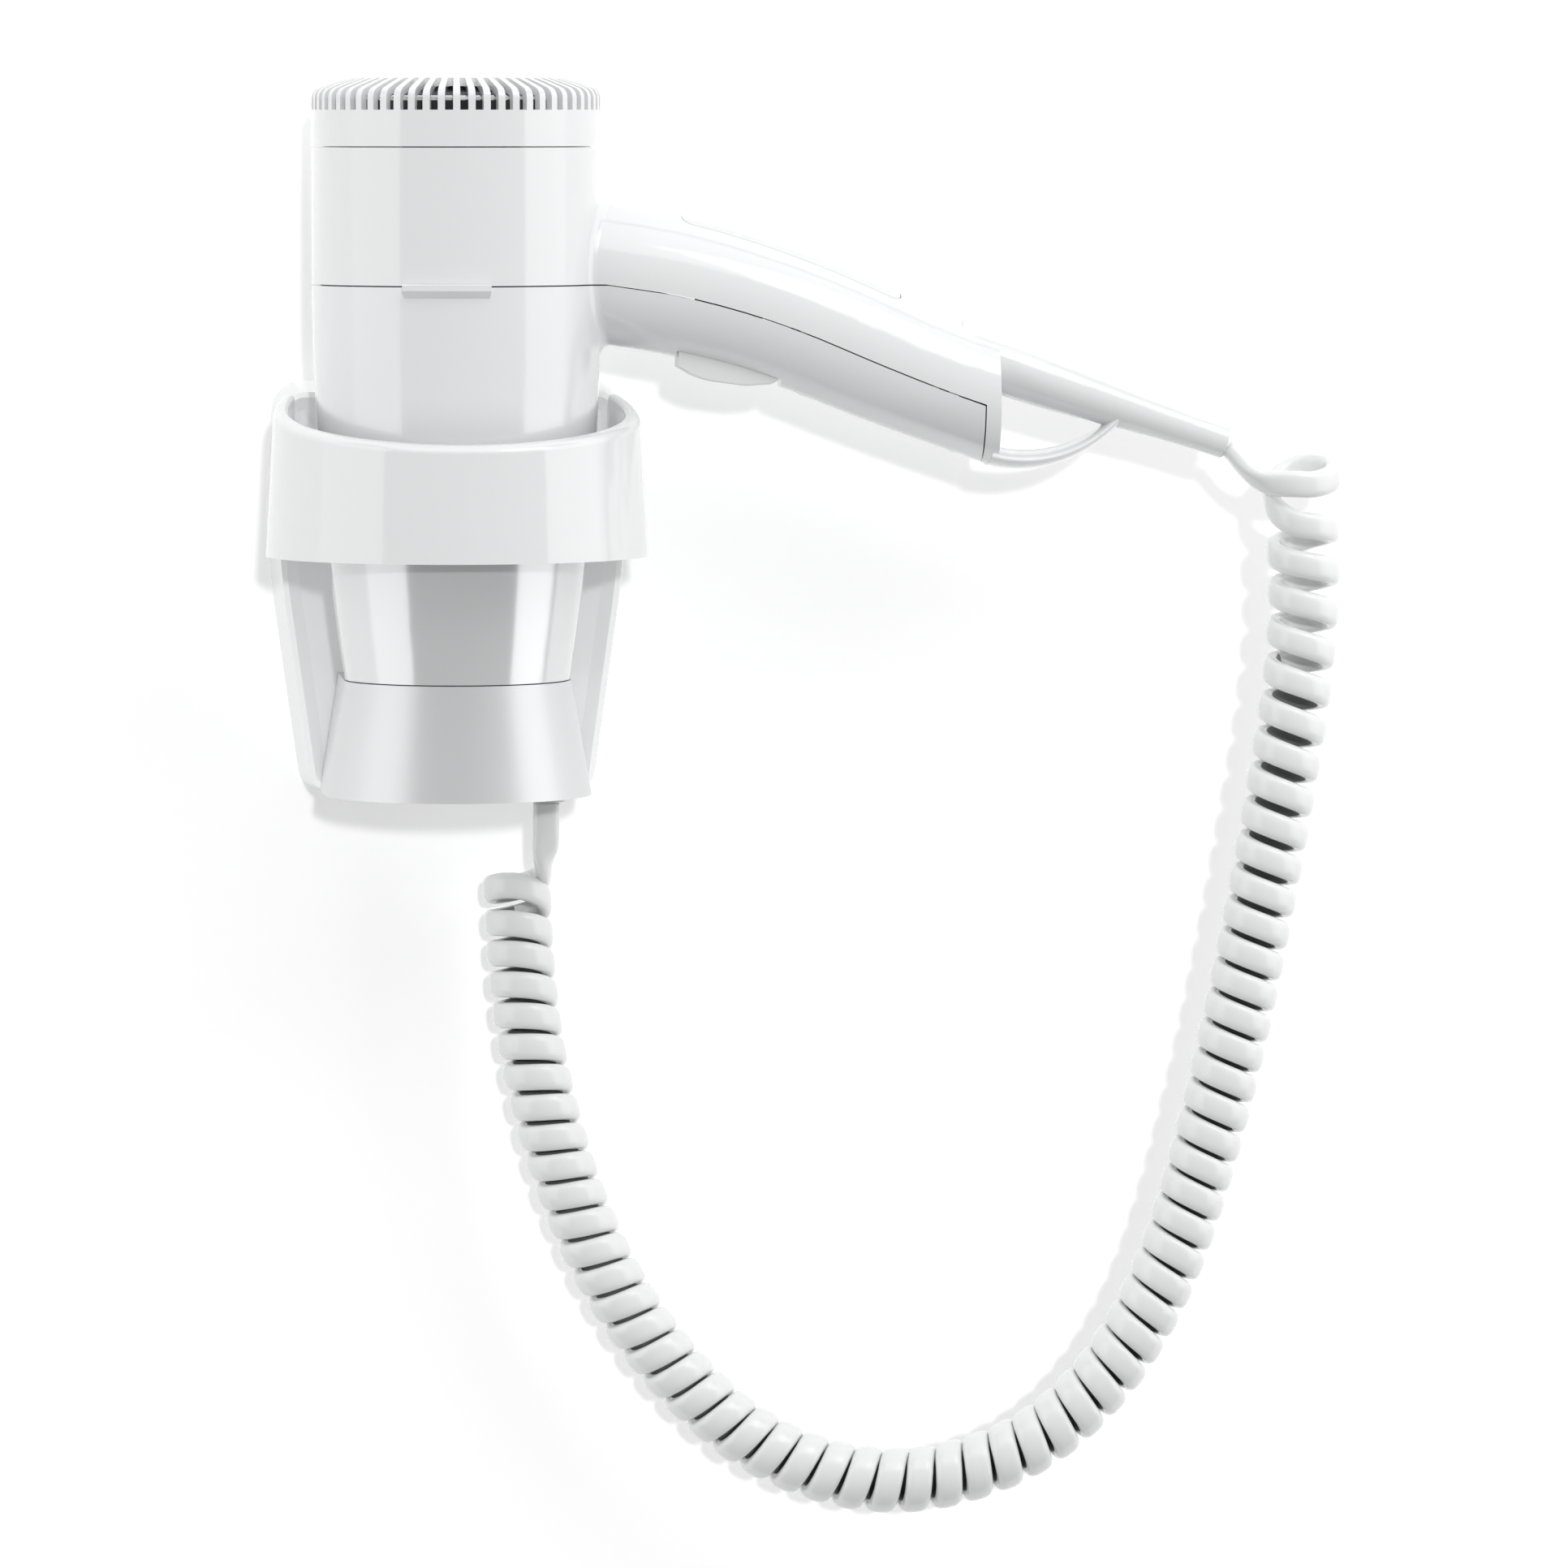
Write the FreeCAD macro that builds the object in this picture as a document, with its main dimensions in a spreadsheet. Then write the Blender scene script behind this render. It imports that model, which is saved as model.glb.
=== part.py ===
"""Wall-mounted hair dryer in its holder, with the curly cord between them.

Millimetres. The origin lies on the wall, at the middle of the holder's back.
+X runs along the handle, +Y into the wall and +Z up. The barrel stands upright
in the holder, nozzle down, on an axis that runs parallel to the wall.
"""
import FreeCAD, Part
import Sketcher
import math
import os
import re

V = FreeCAD.Vector
UP = V(0, 0, 1)

SIZES = {
    # barrel and nozzle
    "barrel_reach": 52.0,          # wall to barrel axis
    "barrel_radius": 39.2,
    "shell_wall": 2.2,
    "dome_top": 144.4,             # heights are above the holder's middle
    "dome_radius": 108.0,
    "cap_edge_radius": 3.0,
    "cap_wall": 2.2,
    "cap_seam": 121.7,
    "body_seam": 84.8,
    "nozzle_bottom": -22.5,
    "nozzle_radius": 30.6,
    "seam_gap": 0.35,
    "seam_drop": 2.4,              # parting line below the handle's centre line
    "spigot_rise": 5.0,
    "spigot_wall": 1.5,
    "turn_clearance": 0.3,
    # rear grille
    "slot_count": 60,
    "slot_inner_radius": 29.8,
    "slot_inner_width": 1.6,
    "slot_outer_width": 2.3,
    "slot_bottom": 131.8,
    "filter_gap": 1.2,
    "filter_thickness": 0.8,
    "frame_ring_bottom": 134.6,
    "frame_ring_top": 135.6,
    "frame_ring_inner": 29.5,
    "frame_ring_outer": 34.4,
    "frame_bar_width": 2.6,
    "frame_fit": 0.05,              # bar ends to the cap's wall
    "funnel_wall": 1.2,
    # latch lip on the body seam
    "lip_angle": 34.0,
    "lip_turn": 7.1,
    "lip_stand": 1.8,
    "lip_drop": 3.3,
    # handle
    "handle_root_height": 86.2,    # spine height where it leaves the barrel
    "handle_root_reach": 49.0,
    "handle_root_tilt": 9.5,
    "handle_mid_tilt": 23.5,
    "handle_end_tilt": 20.0,
    "handle_bend_length": 56.0,
    "handle_tail_length": 43.0,
    "handle_root_high": 19.2,
    "handle_mid_high": 18.3,
    "handle_end_high": 17.3,
    "handle_root_wide": 17.6,
    "handle_end_wide": 15.8,
    "handle_wall": 2.2,
    "junction_fillet": 3.0,
    "collar_start": 143.0,         # where the lower shell ends
    "collar_wall": 4.0,
    # cord arm and hanging loop
    "arm_root_rise": 0.8,          # arm top above the handle's top line at the collar
    "arm_tilt": 18.9,
    "arm_length": 65.0,
    "arm_root_high": 8.3,
    "arm_end_high": 4.95,
    "arm_root_wide": 11.0,
    "arm_end_wide": 5.5,
    "loop_reach": 36.0,
    "loop_sag": 6.1,
    "loop_root_high": 2.8,
    "loop_tip_high": 1.4,
    "loop_root_wide": 11.0,
    "loop_tip_wide": 6.2,
    # handle inlay
    "inlay_start": 61.0,
    "inlay_end": 120.5,
    "inlay_half_width": 7.9,
    "inlay_thickness": 1.2,
    "inlay_gap": 0.2,
    "inlay_corner": 3.0,
    # trigger and switch
    "trigger_start": 59.9,
    "trigger_end": 87.2,
    "trigger_half_width": 7.0,
    "trigger_gap": 0.6,
    "trigger_round": 0.6,
    "pin_reach": 84.5,
    "pin_height": 63.2,
    "pin_radius": 1.25,
    "pin_fit": 0.06,
    "pin_length": 19.6,
    "lug_width": 2.0,
    "shelf_start": 64.0,
    "shelf_end": 84.0,
    "shelf_bottom": 72.0,
    "shelf_thickness": 1.8,
    "switch_length": 18.0,
    "switch_width": 6.4,
    "switch_height": 9.0,
    "button_reach": 70.0,
    "button_radius": 1.5,
    "button_gap": 0.2,
    "button_length": 9.4,
    # housing screws
    "screw_front_reach": 92.4,
    "screw_rear_reach": 133.0,
    "boss_radius": 3.4,
    "screw_radius": 1.3,
    "screw_head_radius": 2.6,
    "screw_head_height": 1.8,
    "screw_fit": 0.1,
    "screw_length": 16.0,
    # board in the handle
    "board_start": 99.0,
    "board_length": 26.0,
    "board_half_width": 13.7,
    "board_thickness": 1.6,
    # motor and fan
    "carrier_gap": 0.4,
    "carrier_wall": 1.8,
    "carrier_bottom": 58.0,
    "carrier_top": 112.0,
    "carrier_lip_radius": 28.0,
    "hub_wall": 2.0,
    "vane_count": 7,
    "vane_thickness": 1.6,
    "vane_top": 90.0,
    "motor_radius": 14.2,
    "motor_fit": 0.2,
    "motor_bottom": 60.0,
    "motor_height": 34.0,
    "can_wall": 1.2,
    "shaft_radius": 1.6,
    "shaft_fit": 0.05,
    "shaft_bottom": 59.0,
    "shaft_top": 110.0,
    "armature_radius": 9.4,
    "armature_bottom": 67.0,
    "armature_top": 87.0,
    "magnet_inner_radius": 10.2,
    "fan_bottom": 97.0,
    "fan_height": 12.0,
    "fan_hub_radius": 11.0,
    "fan_radius": 33.4,
    "blade_count": 9,
    "blade_thickness": 1.3,
    "blade_tilt": 38.0,
    # heater
    "sleeve_radius": 29.8,
    "sleeve_wall": 0.6,
    "sleeve_bottom": -10.0,
    "mica_thickness": 1.0,
    "heater_bottom": -8.0,
    "heater_top": 54.0,
    "heater_tab": 5.0,
    "heater_half_width": 23.6,
    "winding_wire": 0.8,
    "winding_turns": 12,
    "winding_gap": 0.3,
    "outlet_bottom": -16.5,
    "outlet_height": 3.0,
    "outlet_bar": 1.4,
    # holder
    "holder_depth": 26.0,
    "holder_draft": 5.0,
    "holder_land": 1.5,             # flat rim between outside and bowl
    "holder_top": 57.0,
    "holder_bottom": -57.0,
    "holder_top_narrow": 2.0,      # how much narrower the holder is near its top
    "holder_side_step": 1.5,       # holder's widest side beyond the band's rear end
    "holder_wide_height": 14.0,
    "holder_low_narrow": 8.8,
    "holder_narrow_height": 49.0,  # off the middle, where those two are measured
    "holder_top_corner": 8.2,
    "holder_low_corner": 7.5,
    "floor_depth": 7.4,
    "floor_wall": 1.8,
    "bowl_inset": 22.0,            # how far the bowl closes in on its way back
    "tray_wall": 2.2,
    "tray_hollow_depth": 21.0,     # how far forward the hollow behind the bowl reaches
    "holder_side_radius": 200.0,
    "holder_side_shrink": 4.0,     # how fast that radius falls as the outline is drawn in
    "holder_least_corner": 1.2,
    "band_bottom": 11.0,
    "band_radius": 51.9,
    "band_pinch": 3.0,              # the band closes in on its way to the tray
    "band_draft": 3.2,
    "band_wall": 6.4,
    "band_front_height": 42.0,
    "band_slope": 9.0,
    "band_top_share": 0.40,         # of the wall; how far the outer rim is rounded
    "band_inner_share": 0.18,
    "rest_gap": 0.3,
    "rest_radius": 30.9,
    "rest_bottom": -54.0,
    "rest_flare": 10.0,
    "rest_wall": 2.4,
    "rest_hole_radius": 25.0,
    "hump_top": -25.7,
    "hump_step": -41.0,
    "hump_bottom": -53.6,
    "hump_depth": 38.0,
    "hump_half_width": 25.0,
    "hump_low_half_width": 31.0,
    "hump_wall": 1.8,
    # wall plate
    "plate_half_width": 35.0,
    "plate_half_height": 46.0,
    "plate_thickness": 2.5,
    "plate_corner": 6.0,
    "wall_hole_radius": 2.3,
    "wall_hole_half_x": 25.0,
    "wall_hole_half_z": 35.0,
    "inlet_radius": 6.0,
    "inlet_height": -12.0,
    "grommet_wall": 1.6,
    "cover_screw_reach": 13.0,
    "cover_screw_height": 24.0,
    # holder cut-off switch
    "plunger_radius": 2.2,
    "plunger_fit": 0.1,
    "cutoff_half_width": 10.0,
    "cutoff_depth": 11.0,
    "cutoff_height": 12.0,
    "block_top": -37.0,            # terminal block
    "block_width": 12.0,
    "block_depth": 12.0,
    "block_height": 9.0,
    "block_gap": 0.3,              # to the cut-off switch
    "block_way_radius": 1.6,
    "block_screw_radius": 1.3,
    "block_way_pitch": 5.8,
    # cord
    "cord_radius": 2.9,
    "cord_fit": 0.25,
    "coil_radius": 6.2,            # helix centre line
    "coil_tight_pitch": 8.18,
    "coil_open_pitch": 3.3,
    "coil_open_length": 90.0,
    "arm_end_drop": 1.0,
    "bush_length": 8.0,
    "bush_wall": 0.8,
    "holder_bush_reach": 25.4,
    "holder_bush_depth": 33.0,
    "holder_bush_length": 4.0,
    "entry_length": 9.0,
}

# The free cord from the dryer to the holder: chosen points of its route.
LEAD_FROM_ARM = [(214.4, -52.0, 39.1), (217.9, -52.6, 33.8), (221.1, -54.1, 30.3)]
COIL_ROUTE = [
    (230.5, -48.5, 35), (234, -45.5, 10), (232, -45.5, -24), (226.5, -45, -58),
    (220.5, -44.5, -92), (213.5, -43.5, -127), (205.5, -42, -160),
    (195.8, -40.5, -191), (179.8, -38, -219.5), (156.3, -35, -240.2),
    (121.5, -30.5, -249.6), (87, -25.5, -240.5), (62, -22, -219),
    (43, -19.5, -192), (30.5, -17.8, -162), (22.3, -16.8, -130),
    (18.7, -16.2, -100), (17.9, -16, -76),
]
LEAD_TO_HOLDER = [(24.9, -33.0, -73.5)]

doc = FreeCAD.newDocument("HairDryer")
sheet = doc.addObject("Spreadsheet::Sheet", "Sizes")
for row, (alias, size) in enumerate(SIZES.items(), 1):
    sheet.set(f"A{row}", alias)
    sheet.set(f"B{row}", str(size))
    sheet.setAlias(f"B{row}", alias)
doc.recompute()

WORD = re.compile(r"\b(" + "|".join(sorted(SIZES, key=len, reverse=True)) + r")\b")
NODES = {}


# ---------------------------------------------------------------- small tools
def bound(text):
    """Expression text with every size written as a reference to the sheet."""
    return WORD.sub(r"Sizes.\1", str(text))


def size(text):
    """The value of an expression on the sheet's sizes."""
    return float(sheet.evalExpression(bound(text)))


def bind(thing, **sizes):
    for prop, text in sizes.items():
        thing.setExpression(prop, bound(text))


def put(thing, x="0", y="0", z="0", turn=None):
    """Place a thing: its base follows the sheet, its turn is set here."""
    if turn is not None:
        thing.Placement = FreeCAD.Placement(V(), turn)
    for axis, text in zip("xyz", (x, y, z)):
        thing.setExpression(f"Placement.Base.{axis}", bound(text))
    return thing


def node(name, thing):
    thing.Label = name
    NODES[name] = thing
    return thing


def box(name, low, high, turn=None):
    """Box between two corners, each given as three expressions."""
    thing = doc.addObject("Part::Box", name)
    spans = [f"({b}) - ({a})" for a, b in zip(low, high)]
    bind(thing, Length=spans[0], Width=spans[1], Height=spans[2])
    return put(thing, *low, turn=turn)


LIE = {
    "+Z": FreeCAD.Rotation(),
    "+Y": FreeCAD.Rotation(V(1, 0, 0), -90),
    "-Y": FreeCAD.Rotation(V(1, 0, 0), 90),
    "+X": FreeCAD.Rotation(V(0, 1, 0), 90),
}


def rod(name, radius, length, at, lie="+Z"):
    thing = doc.addObject("Part::Cylinder", name)
    bind(thing, Radius=radius, Height=length)
    return put(thing, *at, turn=LIE[lie])


def cut(name, base, *tools):
    thing = doc.addObject("Part::Cut", name)
    thing.Base = base
    thing.Tool = tools[0] if len(tools) == 1 else fuse(name + "_tools", *tools)
    return thing


def fuse(name, *pieces):
    thing = doc.addObject("Part::MultiFuse", name)
    thing.Shapes = list(pieces)
    return thing


def common(name, *pieces):
    thing = doc.addObject("Part::MultiCommon", name)
    thing.Shapes = list(pieces)
    return thing


def group(name, *pieces):
    """Like pieces that share a node, each a solid of its own."""
    thing = doc.addObject("Part::Compound", name)
    thing.Links = list(pieces)
    return thing


# ---------------------------------------------------- bodies with their sketches
def body(name, y="-barrel_reach", x="0", z="0"):
    thing = doc.addObject("PartDesign::Body", name)
    return put(thing, x, y, z)


def arc_centre(start, end, radius):
    """Centre of the minor arc; a positive radius turns left on the way."""
    mid = (start + end) * 0.5
    run = end - start
    half = run.Length / 2
    lift = math.sqrt(max(radius * radius - half * half, 0.0))
    left = V(-run.y, run.x, 0).normalize()
    return mid + left * math.copysign(lift, radius)


def outline(host, name, plane, loops, lift=None, flip=False):
    """Sketch of closed loops on an origin plane; each corner is (x, y) or, where
    an arc arrives there, (x, y, radius)."""
    sketch = host.newObject("Sketcher::SketchObject", name)
    face = [part for part in host.Origin.OriginFeatures if part.Role == plane][0]
    sketch.AttachmentSupport = (face, "")
    sketch.MapMode = "FlatFace"
    if lift is not None:
        sketch.setExpression("AttachmentOffset.Base.z", bound(lift))
    for loop in loops:
        draw_loop(sketch, loop)
    return sketch


def draw_loop(sketch, loop):
    corners = [V(size(item[0]), size(item[1]), 0) for item in loop]
    first = sketch.GeometryCount
    ends = []
    for index, item in enumerate(loop):
        start = corners[index - 1]
        end = corners[index]
        if len(item) == 3:
            radius = size(item[2])
            centre = arc_centre(start, end, radius)
            a = math.atan2(start.y - centre.y, start.x - centre.x)
            b = math.atan2(end.y - centre.y, end.x - centre.x)
            if radius < 0:
                a, b = b, a
            if b < a:
                b += 2 * math.pi
            ring = Part.Circle(centre, UP, abs(radius))
            sketch.addGeometry(Part.ArcOfCircle(ring, a, b), False)
            ends.append((1, 2) if radius > 0 else (2, 1))
        else:
            sketch.addGeometry(Part.LineSegment(start, end), False)
            ends.append((1, 2))
    count = len(loop)
    for index, item in enumerate(loop):
        nxt = (index + 1) % count
        join = Sketcher.Constraint(
            "Coincident", first + index, ends[index][1], first + nxt, ends[nxt][0]
        )
        sketch.addConstraint(join)
        for kind, text in (("DistanceX", item[0]), ("DistanceY", item[1])):
            spot = Sketcher.Constraint(kind, first + index, ends[index][1], size(text))
            number = sketch.addConstraint(spot)
            sketch.setExpression(f"Constraints[{number}]", bound(text))
        if len(item) == 3:
            bow = Sketcher.Constraint("Radius", first + index, abs(size(item[2])))
            number = sketch.addConstraint(bow)
            sketch.setExpression(f"Constraints[{number}]", bound(f"abs({item[2]})"))


def circle_sketch(host, name, plane, x, y, radius, lift=None):
    sketch = host.newObject("Sketcher::SketchObject", name)
    face = [part for part in host.Origin.OriginFeatures if part.Role == plane][0]
    sketch.AttachmentSupport = (face, "")
    sketch.MapMode = "FlatFace"
    if lift is not None:
        sketch.setExpression("AttachmentOffset.Base.z", bound(lift))
    centre = V(size(x), size(y), 0)
    sketch.addGeometry(Part.Circle(centre, UP, size(radius)), False)
    for kind, text in (("DistanceX", x), ("DistanceY", y)):
        number = sketch.addConstraint(Sketcher.Constraint(kind, 0, 3, size(text)))
        sketch.setExpression(f"Constraints[{number}]", bound(text))
    number = sketch.addConstraint(Sketcher.Constraint("Radius", 0, size(radius)))
    sketch.setExpression(f"Constraints[{number}]", bound(radius))
    return sketch


def revolve(host, sketch, angle=360):
    feature = host.newObject("PartDesign::Revolution", sketch.Name + "_turned")
    feature.Profile = sketch
    feature.ReferenceAxis = (sketch, ["V_Axis"])
    feature.Angle = angle
    return feature


def turned(name, *loops, **where):
    """Body of revolution about its own vertical axis."""
    host = body(name, **where)
    revolve(host, outline(host, name + "_outline", "XZ_Plane", loops))
    doc.recompute()
    return host


def pad(host, sketch, length, both=False, back=False, draft=None):
    feature = host.newObject("PartDesign::Pad", sketch.Name + "_pad")
    feature.Profile = sketch
    bind(feature, Length=length)
    feature.Midplane = both
    feature.Reversed = back
    if draft is not None:
        bind(feature, TaperAngle=draft)
    return feature


def pocket(host, sketch, length, both=False, back=False, draft=None):
    """Pocket that is checked to have taken something away."""
    doc.recompute()
    before = host.Shape.Volume
    feature = host.newObject("PartDesign::Pocket", sketch.Name + "_pocket")
    feature.Profile = sketch
    bind(feature, Length=length)
    feature.Midplane = both
    feature.Reversed = back
    if draft is not None:
        bind(feature, TaperAngle=draft)
    doc.recompute()
    if not host.Shape.Volume < before - 1e-6:
        raise RuntimeError(f"{sketch.Name} cuts nothing")
    return feature


def repeat(host, feature, axis, count):
    """The same feature again round an axis of its body."""
    pattern = host.newObject("PartDesign::PolarPattern", feature.Name + "_round")
    pattern.Originals = [feature]
    pattern.Axis = axis
    pattern.Angle = 360
    bind(pattern, Occurrences=count)
    host.Tip = pattern
    doc.recompute()
    return pattern


def bent_path(points, share=0.45):
    """Straight runs joined by tangent arcs; returns the wire and the radii."""
    edges = []
    radii = []
    start = points[0]
    for before, corner, after in zip(points, points[1:], points[2:]):
        run_in = (corner - before)
        run_out = (after - corner)
        turn = run_in.getAngle(run_out)
        cut_back = share * min(run_in.Length, run_out.Length)
        enter = corner - run_in.normalize() * cut_back
        leave = corner + run_out.normalize() * cut_back
        radius = cut_back / math.tan(turn / 2)
        bisector = (enter + leave) * 0.5 - corner
        far = bisector.Length
        middle = corner + bisector.normalize() * (far - radius * (1 - math.cos(turn / 2)))
        edges.append(Part.LineSegment(start, enter).toShape())
        edges.append(Part.Arc(enter, middle, leave).toShape())
        radii.append(radius)
        start = leave
    edges.append(Part.LineSegment(start, points[-1]).toShape())
    return Part.Wire(edges), radii


def tube(path, radius):
    """Solid round tube along a wire."""
    start = path.OrderedEdges[0].firstVertex().Point
    along = path.OrderedEdges[0].tangentAt(path.OrderedEdges[0].FirstParameter)
    ring = Part.Wire([Part.Circle(start, along, radius).toShape()])
    return path.makePipeShell([ring], True, False)


def feature(name, shape):
    thing = doc.addObject("Part::Feature", name)
    thing.Shape = shape
    thing.Placement = FreeCAD.Placement()
    return thing


# ------------------------------------------------------------- nozzle curvature
FLARE = (
    "(((body_seam - nozzle_bottom)^2 + (barrel_radius - nozzle_radius)^2)"
    " / (2*(barrel_radius - nozzle_radius)))"
)


def bore_at(height, inset):
    """Radius of the front housing at a height, drawn in by an inset."""
    return (
        f"(barrel_radius - {FLARE}"
        f" + sqrt(({FLARE} - ({inset}))^2 - (({height}) - body_seam)^2))"
    )


# ------------------------------------------------------------------ handle spine
def spine(reach):
    """Point and downward tilt of the handle's centre line at a distance past
    the root: straight, then one bend down and a slighter one back."""
    x = size("handle_root_reach")
    z = size("handle_root_height")
    bends = [
        (size("handle_bend_length"), size("handle_root_tilt"), size("handle_mid_tilt")),
        (size("handle_tail_length"), size("handle_mid_tilt"), size("handle_end_tilt")),
    ]
    left = reach
    tilt = math.radians(bends[0][1])
    if left <= 0:
        return x + left * math.cos(tilt), z - left * math.sin(tilt), tilt
    for length, first, last in bends:
        first = math.radians(first)
        last = math.radians(last)
        part = min(left, length)
        tilt = first + (last - first) * part / length
        bend = (last - first) / length
        x += (math.sin(tilt) - math.sin(first)) / bend
        z += (math.cos(tilt) - math.cos(first)) / bend
        left -= part
        if left <= 0:
            return x, z, tilt
    return x + left * math.cos(tilt), z - left * math.sin(tilt), tilt


def blend(values, share):
    """Smooth value between two or three sizes, each with a share of 0 to 1."""
    share = min(max(share, 0.0), 1.0)
    steps = len(values) - 1
    index = min(int(share * steps), steps - 1)
    part = share * steps - index
    ease = (1 - math.cos(math.pi * part)) / 2
    return values[index] * (1 - ease) + values[index + 1] * ease


def oval(centre, tilt, high, wide):
    """Upright oval wire across a run that tilts down along X."""
    turn = FreeCAD.Rotation(V(0, 1, 0), math.degrees(tilt))
    ring = Part.Ellipse(V(), max(high, wide), min(high, wide))
    wire = Part.Wire([ring.toShape()])
    lie = FreeCAD.Rotation(V(0, 1, 0), -90)
    if wide > high:
        lie = lie * FreeCAD.Rotation(V(0, 0, 1), 90)
    wire.Placement = FreeCAD.Placement(centre, turn * lie)
    return wire


def handle_loft(name, inset):
    """Oval handle from inside the barrel to past the collar."""
    inset = size(inset)
    axis_y = -size("barrel_reach")
    highs = [size(f"handle_{at}_high") for at in ("root", "mid", "end")]
    wides = [size(f"handle_{at}_wide") for at in ("root", "end")]
    total = size("handle_bend_length + handle_tail_length")
    rings = []
    for step in range(8):
        reach = -26 + step * (total + 40) / 7
        x, z, tilt = spine(reach)
        share = reach / total
        high = blend(highs, share) - inset
        wide = blend(wides, share) - inset
        rings.append(oval(V(x, axis_y, z), tilt, high, wide))
    return feature(name, Part.makeLoft(rings, True, False))


# --------------------------------------------------------------- dryer housings
def barrel_outside():
    """Solid barrel and nozzle up to the grille seam."""
    return turned(
        "barrel_outside",
        [
            ("0", "nozzle_bottom"),
            ("nozzle_radius", "nozzle_bottom"),
            ("barrel_radius", "body_seam", FLARE),
            ("barrel_radius", "cap_seam"),
            ("0", "cap_seam"),
        ],
    )


def barrel_inside():
    """The barrel's bore, open at both ends."""
    return turned(
        "barrel_inside",
        [
            ("0", "nozzle_bottom - 1"),
            (bore_at("nozzle_bottom - 1", "shell_wall"), "nozzle_bottom - 1"),
            ("barrel_radius - shell_wall", "body_seam", f"{FLARE} - shell_wall"),
            ("barrel_radius - shell_wall", "cap_seam + 1"),
            ("0", "cap_seam + 1"),
        ],
    )


def arm_frame(share):
    """Point on the cord arm's axis; share 0 is at the collar, 1 at the end."""
    x, z, tilt = spine(size("handle_bend_length + handle_tail_length"))
    across = V(math.sin(tilt), 0, math.cos(tilt))
    lift = size("handle_end_high - arm_root_high + arm_root_rise")
    root = V(x, -size("barrel_reach"), z) + across * lift
    root.x += 3.0
    root.z -= 3.0 * math.tan(tilt)
    down = math.radians(size("arm_tilt"))
    along = V(math.cos(down), 0, -math.sin(down))
    return root + along * (share * size("arm_length")), along, down


def arm_loft():
    """Tapering arm that carries the cord out of the handle."""
    rings = []
    for share in (-0.22, 0.0, 0.25, 0.5, 0.75, 1.0):
        centre, _, down = arm_frame(share)
        ease = min(max(share, 0.0), 1.0)
        high = blend([size("arm_root_high"), size("arm_end_high")], ease)
        wide = blend([size("arm_root_wide"), size("arm_end_wide")], ease)
        rings.append(oval(centre, down, high, wide))
    return feature("arm_outside", Part.makeLoft(rings, True, False))


def loop_loft():
    """Crescent strip below the arm, from the collar's foot to the arm."""
    x, z, tilt = spine(size("handle_bend_length + handle_tail_length"))
    high = size("handle_end_high")
    foot = V(x, 0, z) - V(math.sin(tilt), 0, math.cos(tilt)) * high
    start = V(size("collar_start") + 2.0, -size("barrel_reach"), 0)
    start.z = foot.z - (start.x - foot.x) * math.tan(tilt) + size("loop_root_high")
    tip = arm_frame(size("loop_reach") / size("arm_length"))[0]
    chord = tip - start
    middle = (start + tip) * 0.5 + V(chord.z, 0, -chord.x).normalize() * size("loop_sag")
    path = Part.Arc(start, middle, tip)
    rings = []
    for step in range(6):
        share = step / 5
        spot = path.FirstParameter + share * (path.LastParameter - path.FirstParameter)
        heading = V(*path.tangent(spot)[0])
        tilt = math.atan2(-heading.z, heading.x)
        high = blend([size("loop_root_high"), size("loop_tip_high")], share)
        wide = blend([size("loop_root_wide"), size("loop_tip_wide")], share)
        rings.append(oval(path.value(spot), tilt, high, wide))
    return feature("loop_outside", Part.makeLoft(rings, True, False))


def round_junction(outside):
    """Fillet where the handle grows out of the barrel."""
    doc.recompute()
    radius = size("barrel_radius")
    chosen = []
    for number, edge in enumerate(outside.Shape.Edges, 1):
        spots = [edge.valueAt(edge.FirstParameter + share *
                 (edge.LastParameter - edge.FirstParameter)) for share in (0.1, 0.5, 0.9)]
        reach = [math.hypot(p.x, p.y + size("barrel_reach")) for p in spots]
        right = all(p.x > radius * 0.6 for p in spots)
        level = max(p.z for p in spots) - min(p.z for p in spots) < 0.01
        if right and not level and all(abs(r - radius) < 1.5 for r in reach):
            chosen.append(number)
    thing = doc.addObject("Part::Fillet", "rounded_outside")
    thing.Base = outside
    thing.Edges = [(number, size("junction_fillet"), size("junction_fillet"))
                   for number in chosen]
    return thing


def reach_box(name, low_x, high_x):
    """Box that spans everything between two places along the handle."""
    return box(name, (low_x, "-barrel_reach - 60", "-40"), (high_x, "-barrel_reach + 60", "200"))


def inner_features(handle_solid):
    """Screw bosses, switch shelf, pin lugs and clamp posts, cut to the handle."""
    high = "170"
    pieces = [
        rod("front_boss", "boss_radius", high, ("screw_front_reach", "-barrel_reach", "0")),
        rod("rear_boss", "boss_radius", high, ("screw_rear_reach", "-barrel_reach", "0")),
        box("switch_shelf",
            ("shelf_start", "-barrel_reach - 30", "shelf_bottom"),
            ("shelf_end", "-barrel_reach + 30", "shelf_bottom + shelf_thickness")),
    ]
    for side, sign in (("near", "-"), ("far", "+")):
        inner = f"-barrel_reach {sign} (trigger_half_width + trigger_gap)"
        outer = f"-barrel_reach {sign} (trigger_half_width + trigger_gap + lug_width)"
        low, top = (outer, inner) if sign == "-" else (inner, outer)
        pieces.append(box(f"{side}_lug",
                          ("pin_reach - 3", low, "0"),
                          ("pin_reach + 3", top, "pin_height + 3")))
    raw = fuse("raw_features", *pieces)
    return common("handle_features", raw, handle_solid)


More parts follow.
